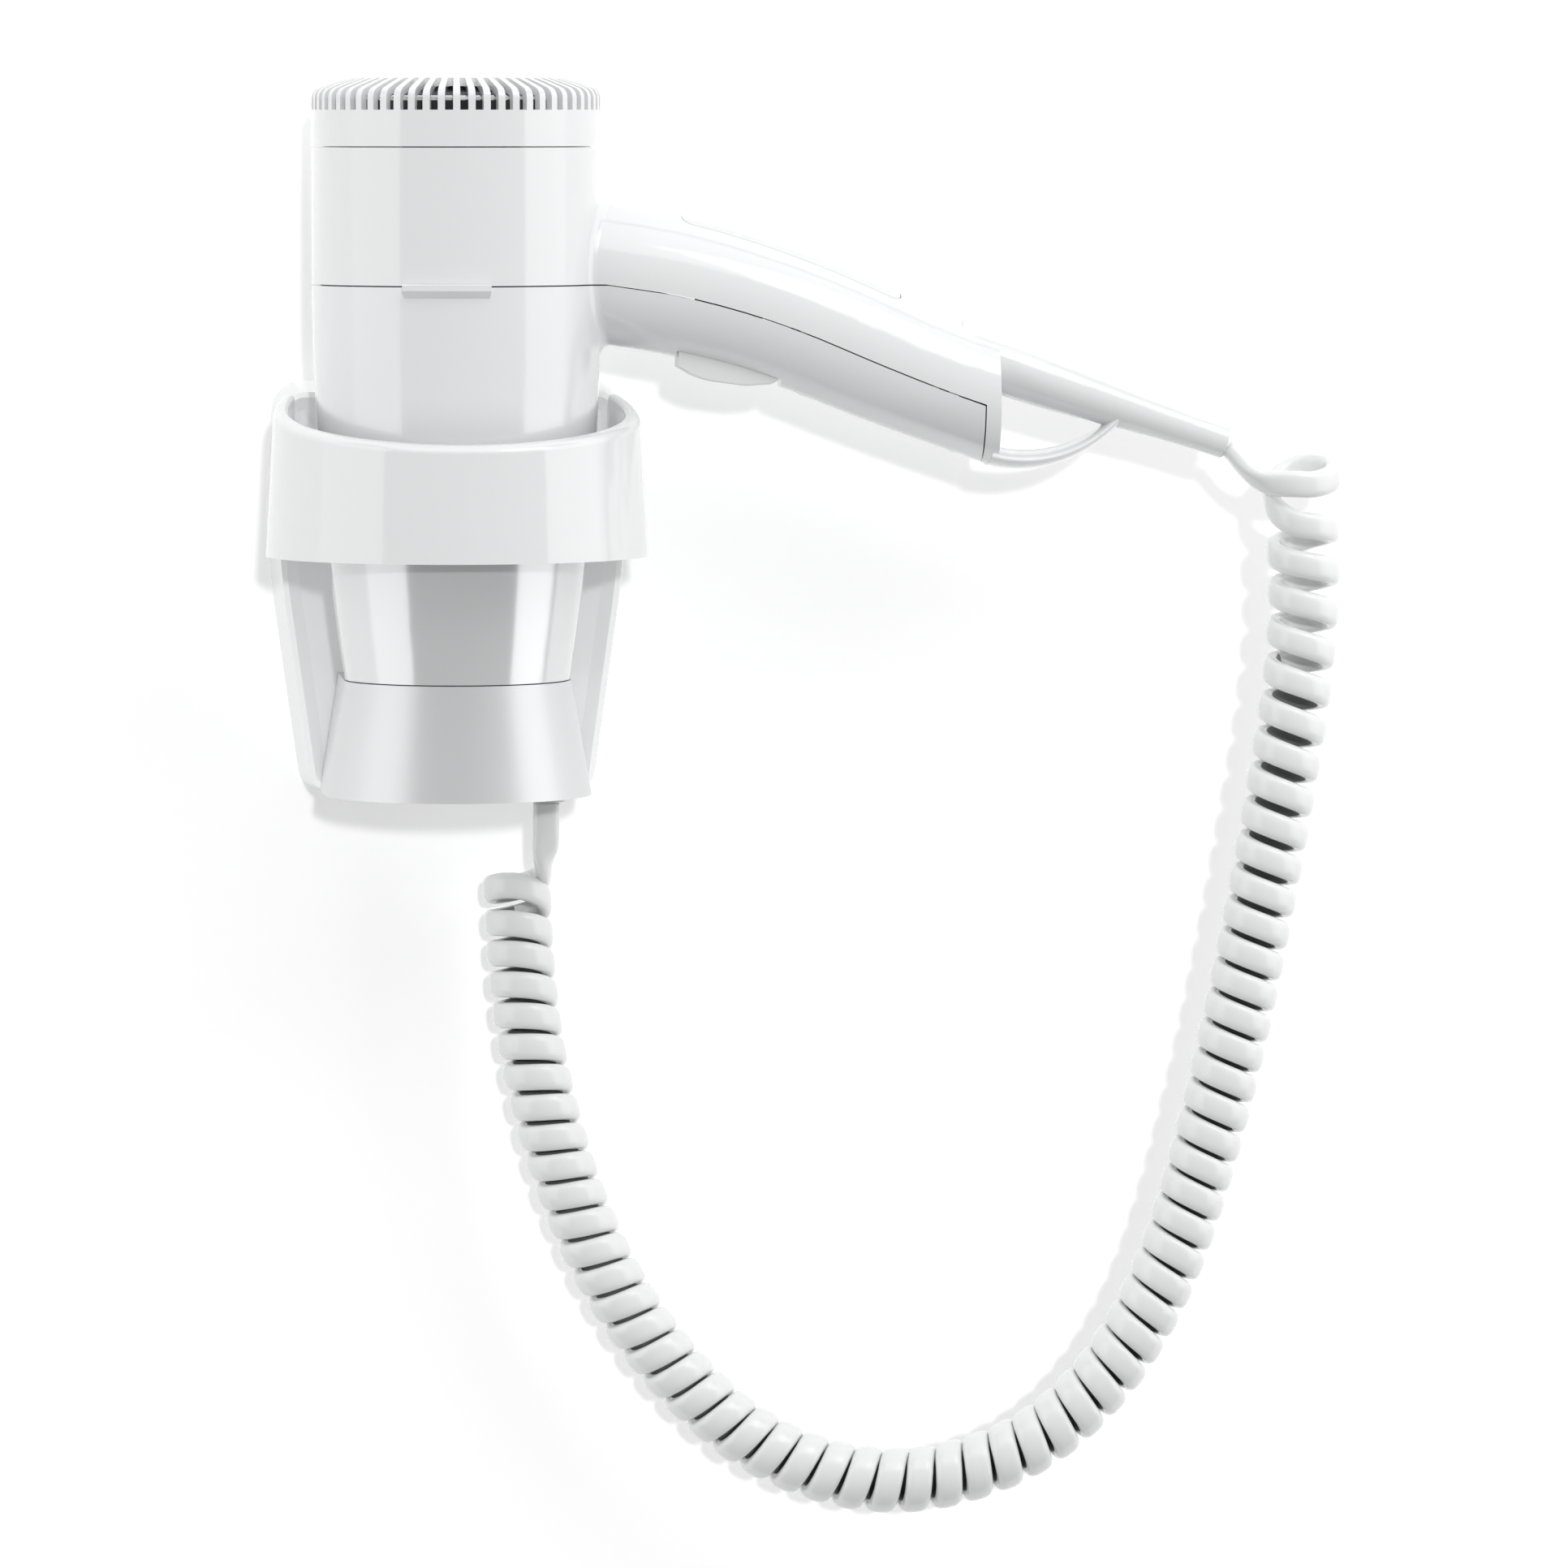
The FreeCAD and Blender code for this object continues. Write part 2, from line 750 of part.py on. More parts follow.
def region(name, shift):
    """Everything above the parting line, which follows the handle down and
    drops at the collar."""
    host = body(name)
    seam = f"body_seam - ({shift})"
    total = size("handle_bend_length + handle_tail_length")
    corners = [("-100", seam), ("handle_root_reach - 9", seam)]
    for reach in range(8, int(total), 7):
        x, z = spine(reach)[:2]
        corners.append((f"{x:.4f}", f"{z:.4f} - seam_drop - ({shift})"))
    x, z = spine(total)[:2]
    corners.append((f"{x:.4f}", f"{z:.4f} - seam_drop - ({shift})"))
    corners[-1] = (f"collar_start - ({shift})", corners[-1][1])
    corners += [
        (f"collar_start - ({shift})", "-60"),
        ("300", "-60"),
        ("300", "220"),
        ("-100", "220"),
    ]
    sketch = outline(host, name + "_outline", "XZ_Plane", [corners])
    pad(host, sketch, "200", both=True)
    doc.recompute()
    return host


def latch_lip():
    """Small hooked lip on the front of the body seam."""
    low = "body_seam - lip_drop"
    root = "barrel_radius - 0.8"
    host = body("latch_lip")
    sketch = outline(host, "lip_outline", "XZ_Plane", [[
        (root, low),
        ("barrel_radius", low),
        ("barrel_radius + lip_stand", "body_seam - 1.3"),
        ("barrel_radius + lip_stand", "body_seam + 0.2"),
        ("barrel_radius + lip_stand - 0.3", "body_seam + 0.5"),
        ("barrel_radius + 0.15", "body_seam + 0.5"),
        ("barrel_radius + 0.15", "body_seam - seam_gap - 0.2"),
        (root, "body_seam - seam_gap - 0.2"),
    ]])
    turn = revolve(host, sketch)
    bind(turn, Angle="lip_angle")
    turn.Midplane = True
    host.Placement = FreeCAD.Placement(V(), FreeCAD.Rotation(UP, -90 - size("lip_turn")))
    return put(host, "0", "-barrel_reach", "0")


def housings():
    handle = handle_loft("handle_outside", "0")
    hollow = handle_loft("handle_inside", "handle_wall")
    grip = common("grip_outside", handle, reach_box("grip_span", "0", "collar_start + collar_wall"))
    grip_hollow = common("grip_inside", hollow, reach_box("hollow_span", "0", "collar_start"))
    arm = arm_loft()
    outside = fuse("whole_outside", barrel_outside(), grip, arm, loop_loft())
    rounded = round_junction(outside)
    end, along, down = arm_frame(1.0)
    bore = doc.addObject("Part::Cylinder", "cord_bore")
    bind(bore, Radius="cord_radius + cord_fit", Height="arm_length + 14")
    turn = FreeCAD.Rotation(V(0, 1, 0), -90 + math.degrees(down))
    bore.Placement = FreeCAD.Placement(end - V(0, 0, size("arm_end_drop")) + along * 1.0, turn)
    bush_seat = doc.addObject("Part::Cylinder", "bush_seat")
    bind(bush_seat, Radius="cord_radius + bush_wall", Height="bush_length + 1")
    bush_seat.Placement = bore.Placement
    shell = cut("whole_shell", rounded, barrel_inside(), grip_hollow, bore, bush_seat)
    features = inner_features(handle_loft("mid_wall", "handle_wall / 2"))
    joined = fuse("shell_with_bosses", shell, features)
    drills = [
        box("trigger_slot",
            ("trigger_start - trigger_gap",
             "-barrel_reach - trigger_half_width - trigger_gap", "0"),
            ("trigger_end + trigger_gap",
             "-barrel_reach + trigger_half_width + trigger_gap", "shelf_bottom - 0.5")),
        rod("button_hole", "button_radius + 0.3", "6",
            ("button_reach", "-barrel_reach", "shelf_bottom - 2")),
        rod("pin_hole", "pin_radius", "pin_length",
            ("pin_reach", "-barrel_reach - pin_length / 2", "pin_height"), "+Y"),
    ]
    for at in ("front", "rear"):
        x = f"screw_{at}_reach"
        base = screw_seat(at)
        drills.append(rod(f"{at}_pilot", "screw_radius + screw_fit", "screw_length + 1",
                          (x, "-barrel_reach", base)))
        drills.append(rod(f"{at}_recess", "screw_head_radius + 0.2", "30",
                          (x, "-barrel_reach", f"{base} - 30")))
    drilled = cut("drilled_shell", joined, *drills)
    upper = region("above_seam", "0")
    lower = region("below_seam_tool", "seam_gap")
    bed = handle_loft("inlay_bed", "inlay_thickness + inlay_gap")
    strip = inlay_strip("inlay_recess", "inlay_gap")
    recess = cut("recess_tool", strip, bed)
    spigot = turned("cap_spigot", [
        ("barrel_radius - shell_wall - spigot_wall - turn_clearance", "cap_seam - 6"),
        ("barrel_radius - shell_wall + 0.1", "cap_seam - 6"),
        ("barrel_radius - shell_wall + 0.1", "cap_seam - 0.4"),
        ("barrel_radius - shell_wall - turn_clearance", "cap_seam - 0.4"),
        ("barrel_radius - shell_wall - turn_clearance", "cap_seam + spigot_rise"),
        ("barrel_radius - shell_wall - spigot_wall - turn_clearance",
         "cap_seam + spigot_rise"),
    ])
    top = cut("top_trim", common("rear_raw", drilled, upper), recess)
    node("rear_housing", fuse("rear_joined", top, spigot))
    lip = latch_lip()
    node("front_housing", fuse("front_joined", cut("front_raw", drilled, lower), lip))
    solid = inlay_strip("inlay_block", "0")
    bed_face = handle_loft("inlay_under", "inlay_thickness")
    node("handle_inlay", cut("inlay_cut", common("inlay_top", solid, handle), bed_face))


def screw_seat(at):
    """Height of a housing screw's head seat, above the handle's lower face."""
    x = size(f"screw_{at}_reach")
    reach = (x - size("handle_root_reach")) * 1.05
    px, pz, tilt = spine(reach)
    total = size("handle_bend_length + handle_tail_length")
    high = blend([size(f"handle_{part}_high") for part in ("root", "mid", "end")],
                 reach / total)
    low = pz - high / math.cos(tilt)
    return f"{low + (px - x) * math.tan(tilt):.4f} + screw_head_height + 1.6"


def inlay_strip(name, grow):
    """Long plan of the inlay with rounded ends, standing tall."""
    host = body(name)
    half = f"(inlay_half_width + {grow})"
    left = f"(inlay_start - {grow})"
    right = f"(inlay_end + {grow})"
    loop = [
        (f"{right} - inlay_corner", f"-{half}"),
        (right, f"inlay_corner - {half}", "inlay_corner"),
        (right, f"{half} - inlay_corner"),
        (f"{right} - inlay_corner", half, "inlay_corner"),
        (f"{left} + inlay_corner", half),
        (left, f"{half} - inlay_corner", "inlay_corner"),
        (left, f"inlay_corner - {half}"),
        (f"{left} + inlay_corner", f"-{half}", "inlay_corner"),
    ]
    sketch = outline(host, name + "_outline", "XY_Plane", [loop], lift="70")
    pad(host, sketch, "60")
    doc.recompute()
    return host


# ---------------------------------------------------------------- rear grille
DOME = "(dome_top - dome_radius)"


def dome_at(radius, inset):
    """Height of the dome, drawn in by an inset, at a radius."""
    return f"({DOME} + sqrt((dome_radius - ({inset}))^2 - ({radius})^2))"


def rear_grille():
    """Domed cap with a ring of radial slots that run down over its edge."""
    edge = f"({DOME} + sqrt((dome_radius - cap_edge_radius)^2"
    edge += " - (barrel_radius - cap_edge_radius)^2))"
    grow = "(dome_radius / (dome_radius - cap_edge_radius))"
    inner = "(barrel_radius - cap_wall)"
    host = turned("rear_grille_body", [
        (inner, "cap_seam + seam_gap"),
        ("barrel_radius", "cap_seam + seam_gap"),
        ("barrel_radius", edge),
        (f"(barrel_radius - cap_edge_radius) * {grow}",
         f"{DOME} + ({edge} - {DOME}) * {grow}", "cap_edge_radius"),
        ("0", "dome_top", "dome_radius"),
        ("0", "dome_top - cap_wall"),
        (inner, dome_at(inner, "cap_wall"), "-(dome_radius - cap_wall)"),
    ])
    half_in = "slot_inner_width / 2"
    half_out = "slot_outer_width / 2"
    slot = outline(host, "grille_slot", "XY_Plane", [[
        ("slot_inner_radius", f"-{half_in}", f"{half_in} * 1.02"),
        ("barrel_radius + 2", f"-{half_out}"),
        ("barrel_radius + 2", half_out),
        ("slot_inner_radius", half_in),
    ]], lift="slot_bottom")
    opening = pocket(host, slot, "dome_top - slot_bottom + 5", back=True)
    around = (host.Group[0], ["V_Axis"])
    repeat(host, opening, around, "slot_count")
    node("rear_grille", host)


def dust_filter():
    """Thin mesh dome that lies on its frame behind the slots."""
    inset = "cap_wall + filter_gap"
    inner = f"{inset} + filter_thickness"
    rim = "(frame_ring_inner + 0.7)"
    node("dust_filter", turned("dust_filter_body", [
        (rim, dome_at(rim, inner)),
        (rim, dome_at(rim, inset)),
        ("0", f"dome_top - ({inset})", f"dome_radius - ({inset})"),
        ("0", f"dome_top - ({inner})"),
        (rim, dome_at(rim, inner), f"-(dome_radius - ({inner}))"),
    ][1:]))


def filter_frame():
    """White ring with crossed bars, whose ends sit between the cap's walls."""
    host = body("filter_frame_body")
    ring = outline(host, "frame_ring", "XZ_Plane", [[
        ("frame_ring_inner", "frame_ring_bottom"),
        ("frame_ring_outer", "frame_ring_bottom"),
        ("frame_ring_outer", "frame_ring_top - 0.6"),
        ("frame_ring_outer - 0.8", "frame_ring_top - 0.2"),
        ("frame_ring_inner", "frame_ring_top - 0.2"),
    ]])
    revolve(host, ring)
    doc.recompute()
    half = "frame_bar_width / 2"
    reach = "(barrel_radius - cap_wall - frame_fit)"
    bar = outline(host, "frame_bar", "XY_Plane", [[
        (f"-{reach}", f"-{half}"),
        (reach, f"-{half}"),
        (reach, half),
        (f"-{reach}", half),
    ]], lift="frame_ring_bottom")
    first = pad(host, bar, "frame_ring_top - frame_ring_bottom - 0.4")
    doc.recompute()
    repeat(host, first, (ring, ["V_Axis"]), "4")
    node("filter_frame", host)


def duct_radius():
    """Outer radius of the motor carrier's duct, clear of the shell at its foot."""
    return f"({bore_at('carrier_bottom', 'shell_wall')} - carrier_gap)"


def intake_funnel():
    """Dark tube from the filter down to the fan, flanged onto the duct's rim."""
    foot = "(carrier_top + 0.1)"
    wide = "(frame_ring_outer - 0.2)"
    node("intake_funnel", turned("intake_funnel_body", [
        ("carrier_lip_radius", foot),
        (duct_radius(), foot),
        (duct_radius(), f"{foot} + funnel_wall"),
        (wide, f"{foot} + funnel_wall"),
        (wide, "frame_ring_bottom - 0.2"),
        (f"{wide} - funnel_wall", "frame_ring_bottom - 0.2"),
        (f"{wide} - funnel_wall", f"{foot} + funnel_wall + 4"),
        ("carrier_lip_radius", f"{foot} + funnel_wall"),
    ]))


# --------------------------------------------------------------- motor and fan
def motor_carrier():
    """Duct ring, guide vanes and the cup that holds the motor, one moulding."""
    outer = duct_radius()
    host = body("motor_carrier_body")
    duct = outline(host, "carrier_duct", "XZ_Plane", [[
        ("carrier_lip_radius", "carrier_bottom"),
        (outer, "carrier_bottom"),
        (outer, "carrier_top"),
        (f"{outer} - carrier_wall", "carrier_top"),
        (f"{outer} - carrier_wall", "carrier_bottom + carrier_wall"),
        ("carrier_lip_radius", "carrier_bottom + carrier_wall"),
    ]])
    revolve(host, duct)
    doc.recompute()
    cup = "(motor_radius + motor_fit)"
    half = "vane_thickness / 2"
    vane = outline(host, "carrier_vane", "XY_Plane", [[
        (f"{cup} + hub_wall / 2", f"-{half}"),
        (f"{outer} - carrier_wall / 2", f"-{half}"),
        (f"{outer} - carrier_wall / 2", half),
        (f"{cup} + hub_wall / 2", half),
    ]], lift="carrier_bottom")
    first = pad(host, vane, "vane_top - carrier_bottom")
    doc.recompute()
    repeat(host, first, (duct, ["V_Axis"]), "vane_count")
    hub = outline(host, "carrier_cup", "XZ_Plane", [[
        (cup, "carrier_bottom"),
        (f"{cup} + hub_wall", "carrier_bottom"),
        (f"{cup} + hub_wall", "vane_top + 2"),
        (cup, "vane_top + 2"),
    ]])
    revolve(host, hub)
    doc.recompute()
    node("motor_carrier", host)


def motor():
    """Small motor: can, end cap, magnets, and the shaft with its armature."""
    top = "(motor_bottom + motor_height)"
    eye = "(shaft_radius + shaft_fit)"
    node("motor_can", turned("motor_can_body", [
        (eye, "motor_bottom"),
        ("motor_radius", "motor_bottom"),
        ("motor_radius", f"{top} - 2.5"),
        ("motor_radius - can_wall", f"{top} - 2.5"),
        ("motor_radius - can_wall", "motor_bottom + can_wall"),
        ("4", "motor_bottom + can_wall"),
        ("4", "motor_bottom + 4"),
        (eye, "motor_bottom + 4"),
    ]))
    node("motor_end_cap", turned("motor_end_cap_body", [
        (eye, f"{top} - 5"),
        ("4", f"{top} - 5"),
        ("4", f"{top} - 2.5"),
        ("motor_radius", f"{top} - 2.5"),
        ("motor_radius", top),
        (eye, top),
    ]))
    magnets = []
    for index, turn in enumerate((-90, 90)):
        host = body(f"magnet{index + 1}")
        sketch = outline(host, f"magnet_outline{index + 1}", "XZ_Plane", [[
            ("magnet_inner_radius", "armature_bottom - 1"),
            ("motor_radius - can_wall", "armature_bottom - 1"),
            ("motor_radius - can_wall", "armature_top + 1"),
            ("magnet_inner_radius", "armature_top + 1"),
        ]])
        arc = revolve(host, sketch, 130)
        arc.Midplane = True
        host.Placement = FreeCAD.Placement(V(), FreeCAD.Rotation(UP, turn))
        put(host, "0", "-barrel_reach", "0")
        magnets.append(host)
    node("motor_magnets", group("magnet_pair", *magnets))
    node("motor_shaft", rod("motor_shaft_rod", "shaft_radius", "shaft_top - shaft_bottom",
                            ("0", "-barrel_reach", "shaft_bottom")))
    host = turned("armature_body", [
        ("shaft_radius", "armature_bottom"),
        ("armature_radius", "armature_bottom"),
        ("armature_radius", "armature_top"),
        ("shaft_radius", "armature_top"),
    ])
    slot = outline(host, "armature_slot", "XY_Plane", [[
        ("armature_radius * 0.5", "-0.9"),
        ("armature_radius + 1", "-0.9"),
        ("armature_radius + 1", "0.9"),
        ("armature_radius * 0.5", "0.9"),
    ]], lift="armature_bottom - 1")
    first = pocket(host, slot, "armature_top - armature_bottom + 2", back=True)
    repeat(host, first, (host.Group[0], ["V_Axis"]), "5 + 0")
    node("armature", host)


def fan():
    """Axial fan: a hub on the shaft and blades pitched against the air."""
    top = "(fan_bottom + fan_height)"
    hub = turned("fan_hub", [
        ("shaft_radius", "fan_bottom"),
        ("fan_hub_radius", "fan_bottom"),
        ("fan_hub_radius", f"{top} - 4"),
        ("fan_hub_radius - 4", top, "4.001"),
        ("shaft_radius", top),
    ])
    blades = []
    count = int(size("blade_count"))
    for index in range(count):
        spin = FreeCAD.Rotation(UP, 360 * index / count)
        pitch = FreeCAD.Rotation(V(1, 0, 0), size("blade_tilt"))
        blade = doc.addObject("Part::Box", f"blade{index + 1}")
        bind(blade, Length="fan_radius - fan_hub_radius + 2", Width="blade_thickness",
             Height="fan_height * 1.1")
        root = V(size("fan_hub_radius - 2"), -size("blade_thickness") / 2,
                 -size("fan_height") * 0.55)
        place = FreeCAD.Placement(V(0, -size("barrel_reach"),
                                    size("fan_bottom + fan_height / 2 - 0.5")), spin)
        blade.Placement = place.multiply(
            FreeCAD.Placement(V(), pitch).multiply(FreeCAD.Placement(root, FreeCAD.Rotation())))
        blades.append(blade)
    swept = turned("fan_sweep", [
        ("shaft_radius", "fan_bottom - 2"),
        ("fan_radius", "fan_bottom - 2"),
        ("fan_radius", f"{top} + 2"),
        ("shaft_radius", f"{top} + 2"),
    ])
    node("fan", common("fan_wheel", fuse("fan_raw", hub, *blades), swept))


# ---------------------------------------------------------------------- heater
def heater():
    """Crossed mica boards in their sleeve, wound with one heating wire."""
    inner = "(sleeve_radius - sleeve_wall)"
    node("mica_sleeve", turned("mica_sleeve_body", [
        (inner, "sleeve_bottom"),
        ("sleeve_radius", "sleeve_bottom"),
        ("sleeve_radius", "carrier_bottom - 0.2"),
        (inner, "carrier_bottom - 0.2"),
    ]))
    wide = f"({inner} - 0.3)"
    slim = "heater_half_width"
    boards = []
    for index, turn in enumerate((0, 90)):
        host = body(f"mica_board{index + 1}")
        loop = [
            (wide, "heater_bottom"),
            (wide, "heater_bottom + heater_tab"),
            (slim, "heater_bottom + heater_tab"),
            (slim, "heater_top - heater_tab"),
            (wide, "heater_top - heater_tab"),
            (wide, "heater_top"),
            (f"-{wide}", "heater_top"),
            (f"-{wide}", "heater_top - heater_tab"),
            (f"-{slim}", "heater_top - heater_tab"),
            (f"-{slim}", "heater_bottom + heater_tab"),
            (f"-{wide}", "heater_bottom + heater_tab"),
            (f"-{wide}", "heater_bottom"),
        ]
        sketch = outline(host, f"mica_outline{index + 1}", "XZ_Plane", [loop])
        pad(host, sketch, "mica_thickness", both=True)
        host.Placement = FreeCAD.Placement(V(), FreeCAD.Rotation(UP, turn))
        put(host, "0", "-barrel_reach", "0")
        boards.append(host)
    node("heater_frame", fuse("mica_cross", *boards))
    node("heater_winding", feature("heater_winding_wire", winding()))
    half = "mica_thickness / 2"
    node("thermostat", rod("thermostat_can", "4.5", "4",
                           ("11", f"-barrel_reach - {half} - 4", "heater_top - 7"), "+Y"))
    node("thermal_fuse", rod("thermal_fuse_can", "1.6", "9",
                             ("-12", f"-barrel_reach - {half} - 1.6", "heater_top - 12")))


def outlet_grille():
    """Ring and spoke guard across the nozzle."""
    outer = f"({bore_at('outlet_bottom', 'shell_wall')} - 0.35)"
    top = "(outlet_bottom + outlet_height)"
    host = body("outlet_grille_body")
    rim = outline(host, "outlet_rim", "XZ_Plane", [[
        (f"{outer} - outlet_bar", "outlet_bottom"),
        (outer, "outlet_bottom"),
        (outer, top),
        (f"{outer} - outlet_bar", top),
    ]])
    revolve(host, rim)
    doc.recompute()
    half = "outlet_bar / 2"
    spoke = outline(host, "outlet_spoke", "XY_Plane", [[
        ("-1", f"-{half}"),
        (f"{outer} - outlet_bar / 2", f"-{half}"),
        (f"{outer} - outlet_bar / 2", half),
        ("-1", half),
    ]], lift="outlet_bottom")
    first = pad(host, spoke, "outlet_height")
    doc.recompute()
    repeat(host, first, (rim, ["V_Axis"]), "8 + 0")
    rings = []
    for place in ("0.27", "0.52", "0.77"):
        mid = f"{outer} * {place}"
        rings.append([
            (f"{mid} - {half}", "outlet_bottom"),
            (f"{mid} + {half}", "outlet_bottom"),
            (f"{mid} + {half}", top),
            (f"{mid} - {half}", top),
        ])
    revolve(host, outline(host, "outlet_rings", "XZ_Plane", rings))
    doc.recompute()
    node("outlet_grille", host)


# ------------------------------------------------------ wound wire and the coil
def biarc(start, start_way, end, end_way):
    """Two tangent arcs between two points with given headings."""
    run = end - start
    a = 2 * (1 - start_way.dot(end_way))
    b = 2 * run.dot(start_way + end_way)
    c = -run.dot(run)
    arm = -c / b if abs(a) < 1e-9 else (-b + math.sqrt(b * b - 4 * a * c)) / (2 * a)
    first = start + start_way * arm
    last = end - end_way * arm
    middle = (first + last) * 0.5
    way = (last - first).normalize()
    return [arc_from(start, start_way, middle), arc_from(middle, way, end)]


def arc_from(start, way, end):
    """Arc that leaves a point along a heading and ends at another point."""
    chord = end - start
    normal = way.cross(chord)
    if normal.Length < 1e-7:
        return Part.LineSegment(start, end).toShape()
    inward = normal.normalize().cross(way)
    radius = chord.dot(chord) / (2 * chord.dot(inward))
    centre = start + inward * radius
    middle = centre + ((start + end) * 0.5 - centre).normalize() * abs(radius)
    return Part.Arc(start, middle, end).toShape()


def helix(points, ways, straight):
    """Wire through points and headings in biarcs, with a straight run at both
    ends."""
    edges = [Part.LineSegment(points[0] - ways[0] * straight, points[0]).toShape()]
    for index in range(len(points) - 1):
        edges += biarc(points[index], ways[index], points[index + 1], ways[index + 1])
    last = points[-1]
    edges.append(Part.LineSegment(last, last + ways[-1] * straight).toShape())
    return Part.Wire(edges)


def least_gap(wire, radius, apart):
    """Least clear distance of a tube to itself, on points along its line."""
    spots = wire.discretize(Distance=1.0)
    best = 1e9
    skip = int(apart)
    for index, spot in enumerate(spots):
        for other in spots[index + skip:index + skip + int(6 * apart)]:
            best = min(best, spot.distanceToPoint(other))
    return best - 2 * radius


def winding():
    """Heating wire wound round the edges of the mica cross."""
    turns = size("winding_turns")
    wire_radius = size("winding_wire")
    radius = size("heater_half_width + winding_wire + winding_gap")
    low = size("heater_bottom + heater_tab") + 3 * wire_radius
    high = size("heater_top - heater_tab") - 3 * wire_radius
    steps = int(turns * 4)
    points = []
    ways = []
    rise = (high - low) / steps
    for step in range(steps + 1):
        angle = 2 * math.pi * step / 4
        out = V(math.cos(angle), math.sin(angle), 0)
        points.append(V(0, -size("barrel_reach"), low + rise * step) + out * radius)
        way = V(-out.y, out.x, 0) * (math.pi / 2 * radius) + UP * rise
        ways.append(way.normalize())
    wire = helix(points, ways, 2 * wire_radius)
    gap = least_gap(wire, wire_radius, math.pi * radius)
    print(f"heater winding: {turns:.0f} turns, least gap {gap:.2f} mm")
    return tube(wire, wire_radius)


# ---------------------------------------------------------- trigger and switch
def trigger():
    """Rocking key under the handle, its pin, and the switch it works."""
    loop = [
        ("trigger_start", "pin_height - 1.2"),
        ("trigger_start + 3.6", "pin_height - 3.3"),
        ("trigger_start + 9.8", "pin_height - 5.1", "22"),
        ("pin_reach - 6.2", "pin_height - 6.2"),
        ("pin_reach", "pin_height - 5.8"),
        ("trigger_end", "pin_height - 4.2", "4"),
        ("trigger_end", "pin_height + 1.8"),
        ("pin_reach - 2.5", "pin_height + 3.3"),
        ("trigger_start", "pin_height + 5.8"),
    ]
    host = body("trigger_body")
    sketch = outline(host, "trigger_outline", "XZ_Plane", [loop])
    pad(host, sketch, "2 * trigger_half_width", both=True)
    doc.recompute()
    hole = circle_sketch(host, "trigger_eye", "XZ_Plane", "pin_reach", "pin_height",
                         "pin_radius + pin_fit")
    pocket(host, hole, "3 * trigger_half_width", both=True)
    chosen = []
    for number, edge in enumerate(host.Shape.Edges, 1):
        side = all(abs(abs(v.Point.y) - size("trigger_half_width")) < 0.01
                   or abs(abs(v.Point.y + size("barrel_reach"))
                          - size("trigger_half_width")) < 0.01 for v in edge.Vertexes)
        low = all(v.Point.z < 62.5 for v in edge.Vertexes)
        if side and low and not edge.Closed:
            ends = {round(v.Point.y, 2) for v in edge.Vertexes}
            if len(ends) == 1:
                chosen.append((number, size("trigger_round"), size("trigger_round")))
    rounded = doc.addObject("Part::Fillet", "trigger_rounded")
    rounded.Base = host
    rounded.Edges = chosen
    node("trigger", rounded)
    node("trigger_pin", rod("pin_rod", "pin_radius", "pin_length",
                            ("pin_reach", "-barrel_reach - pin_length / 2", "pin_height"), "+Y"))
    base = "shelf_bottom + shelf_thickness"
    case = box("switch_case",
               ("shelf_start + 1", "-barrel_reach - switch_width / 2", base),
               ("shelf_start + 1 + switch_length", "-barrel_reach + switch_width / 2",
                f"{base} + switch_height"))
    tabs = [box(f"switch_tab{index}",
                (f"shelf_start + {4 + 6 * index}", "-barrel_reach - 0.4",
                 f"{base} + switch_height - 0.5"),
                (f"shelf_start + {6 + 6 * index}", "-barrel_reach + 0.4",
                 f"{base} + switch_height + 4")) for index in range(3)]
    shaft = rod("switch_bore", "button_radius + button_gap", "7",
                ("button_reach", "-barrel_reach", f"{base} - 0.5"))
    node("micro_switch", cut("switch_drilled", fuse("switch_joined", case, *tabs), shaft))
    low = f"{base} + 3.7 - button_length"
    node("switch_button", rod("button_rod", "button_radius", "button_length",
                              ("button_reach", "-barrel_reach", low)))


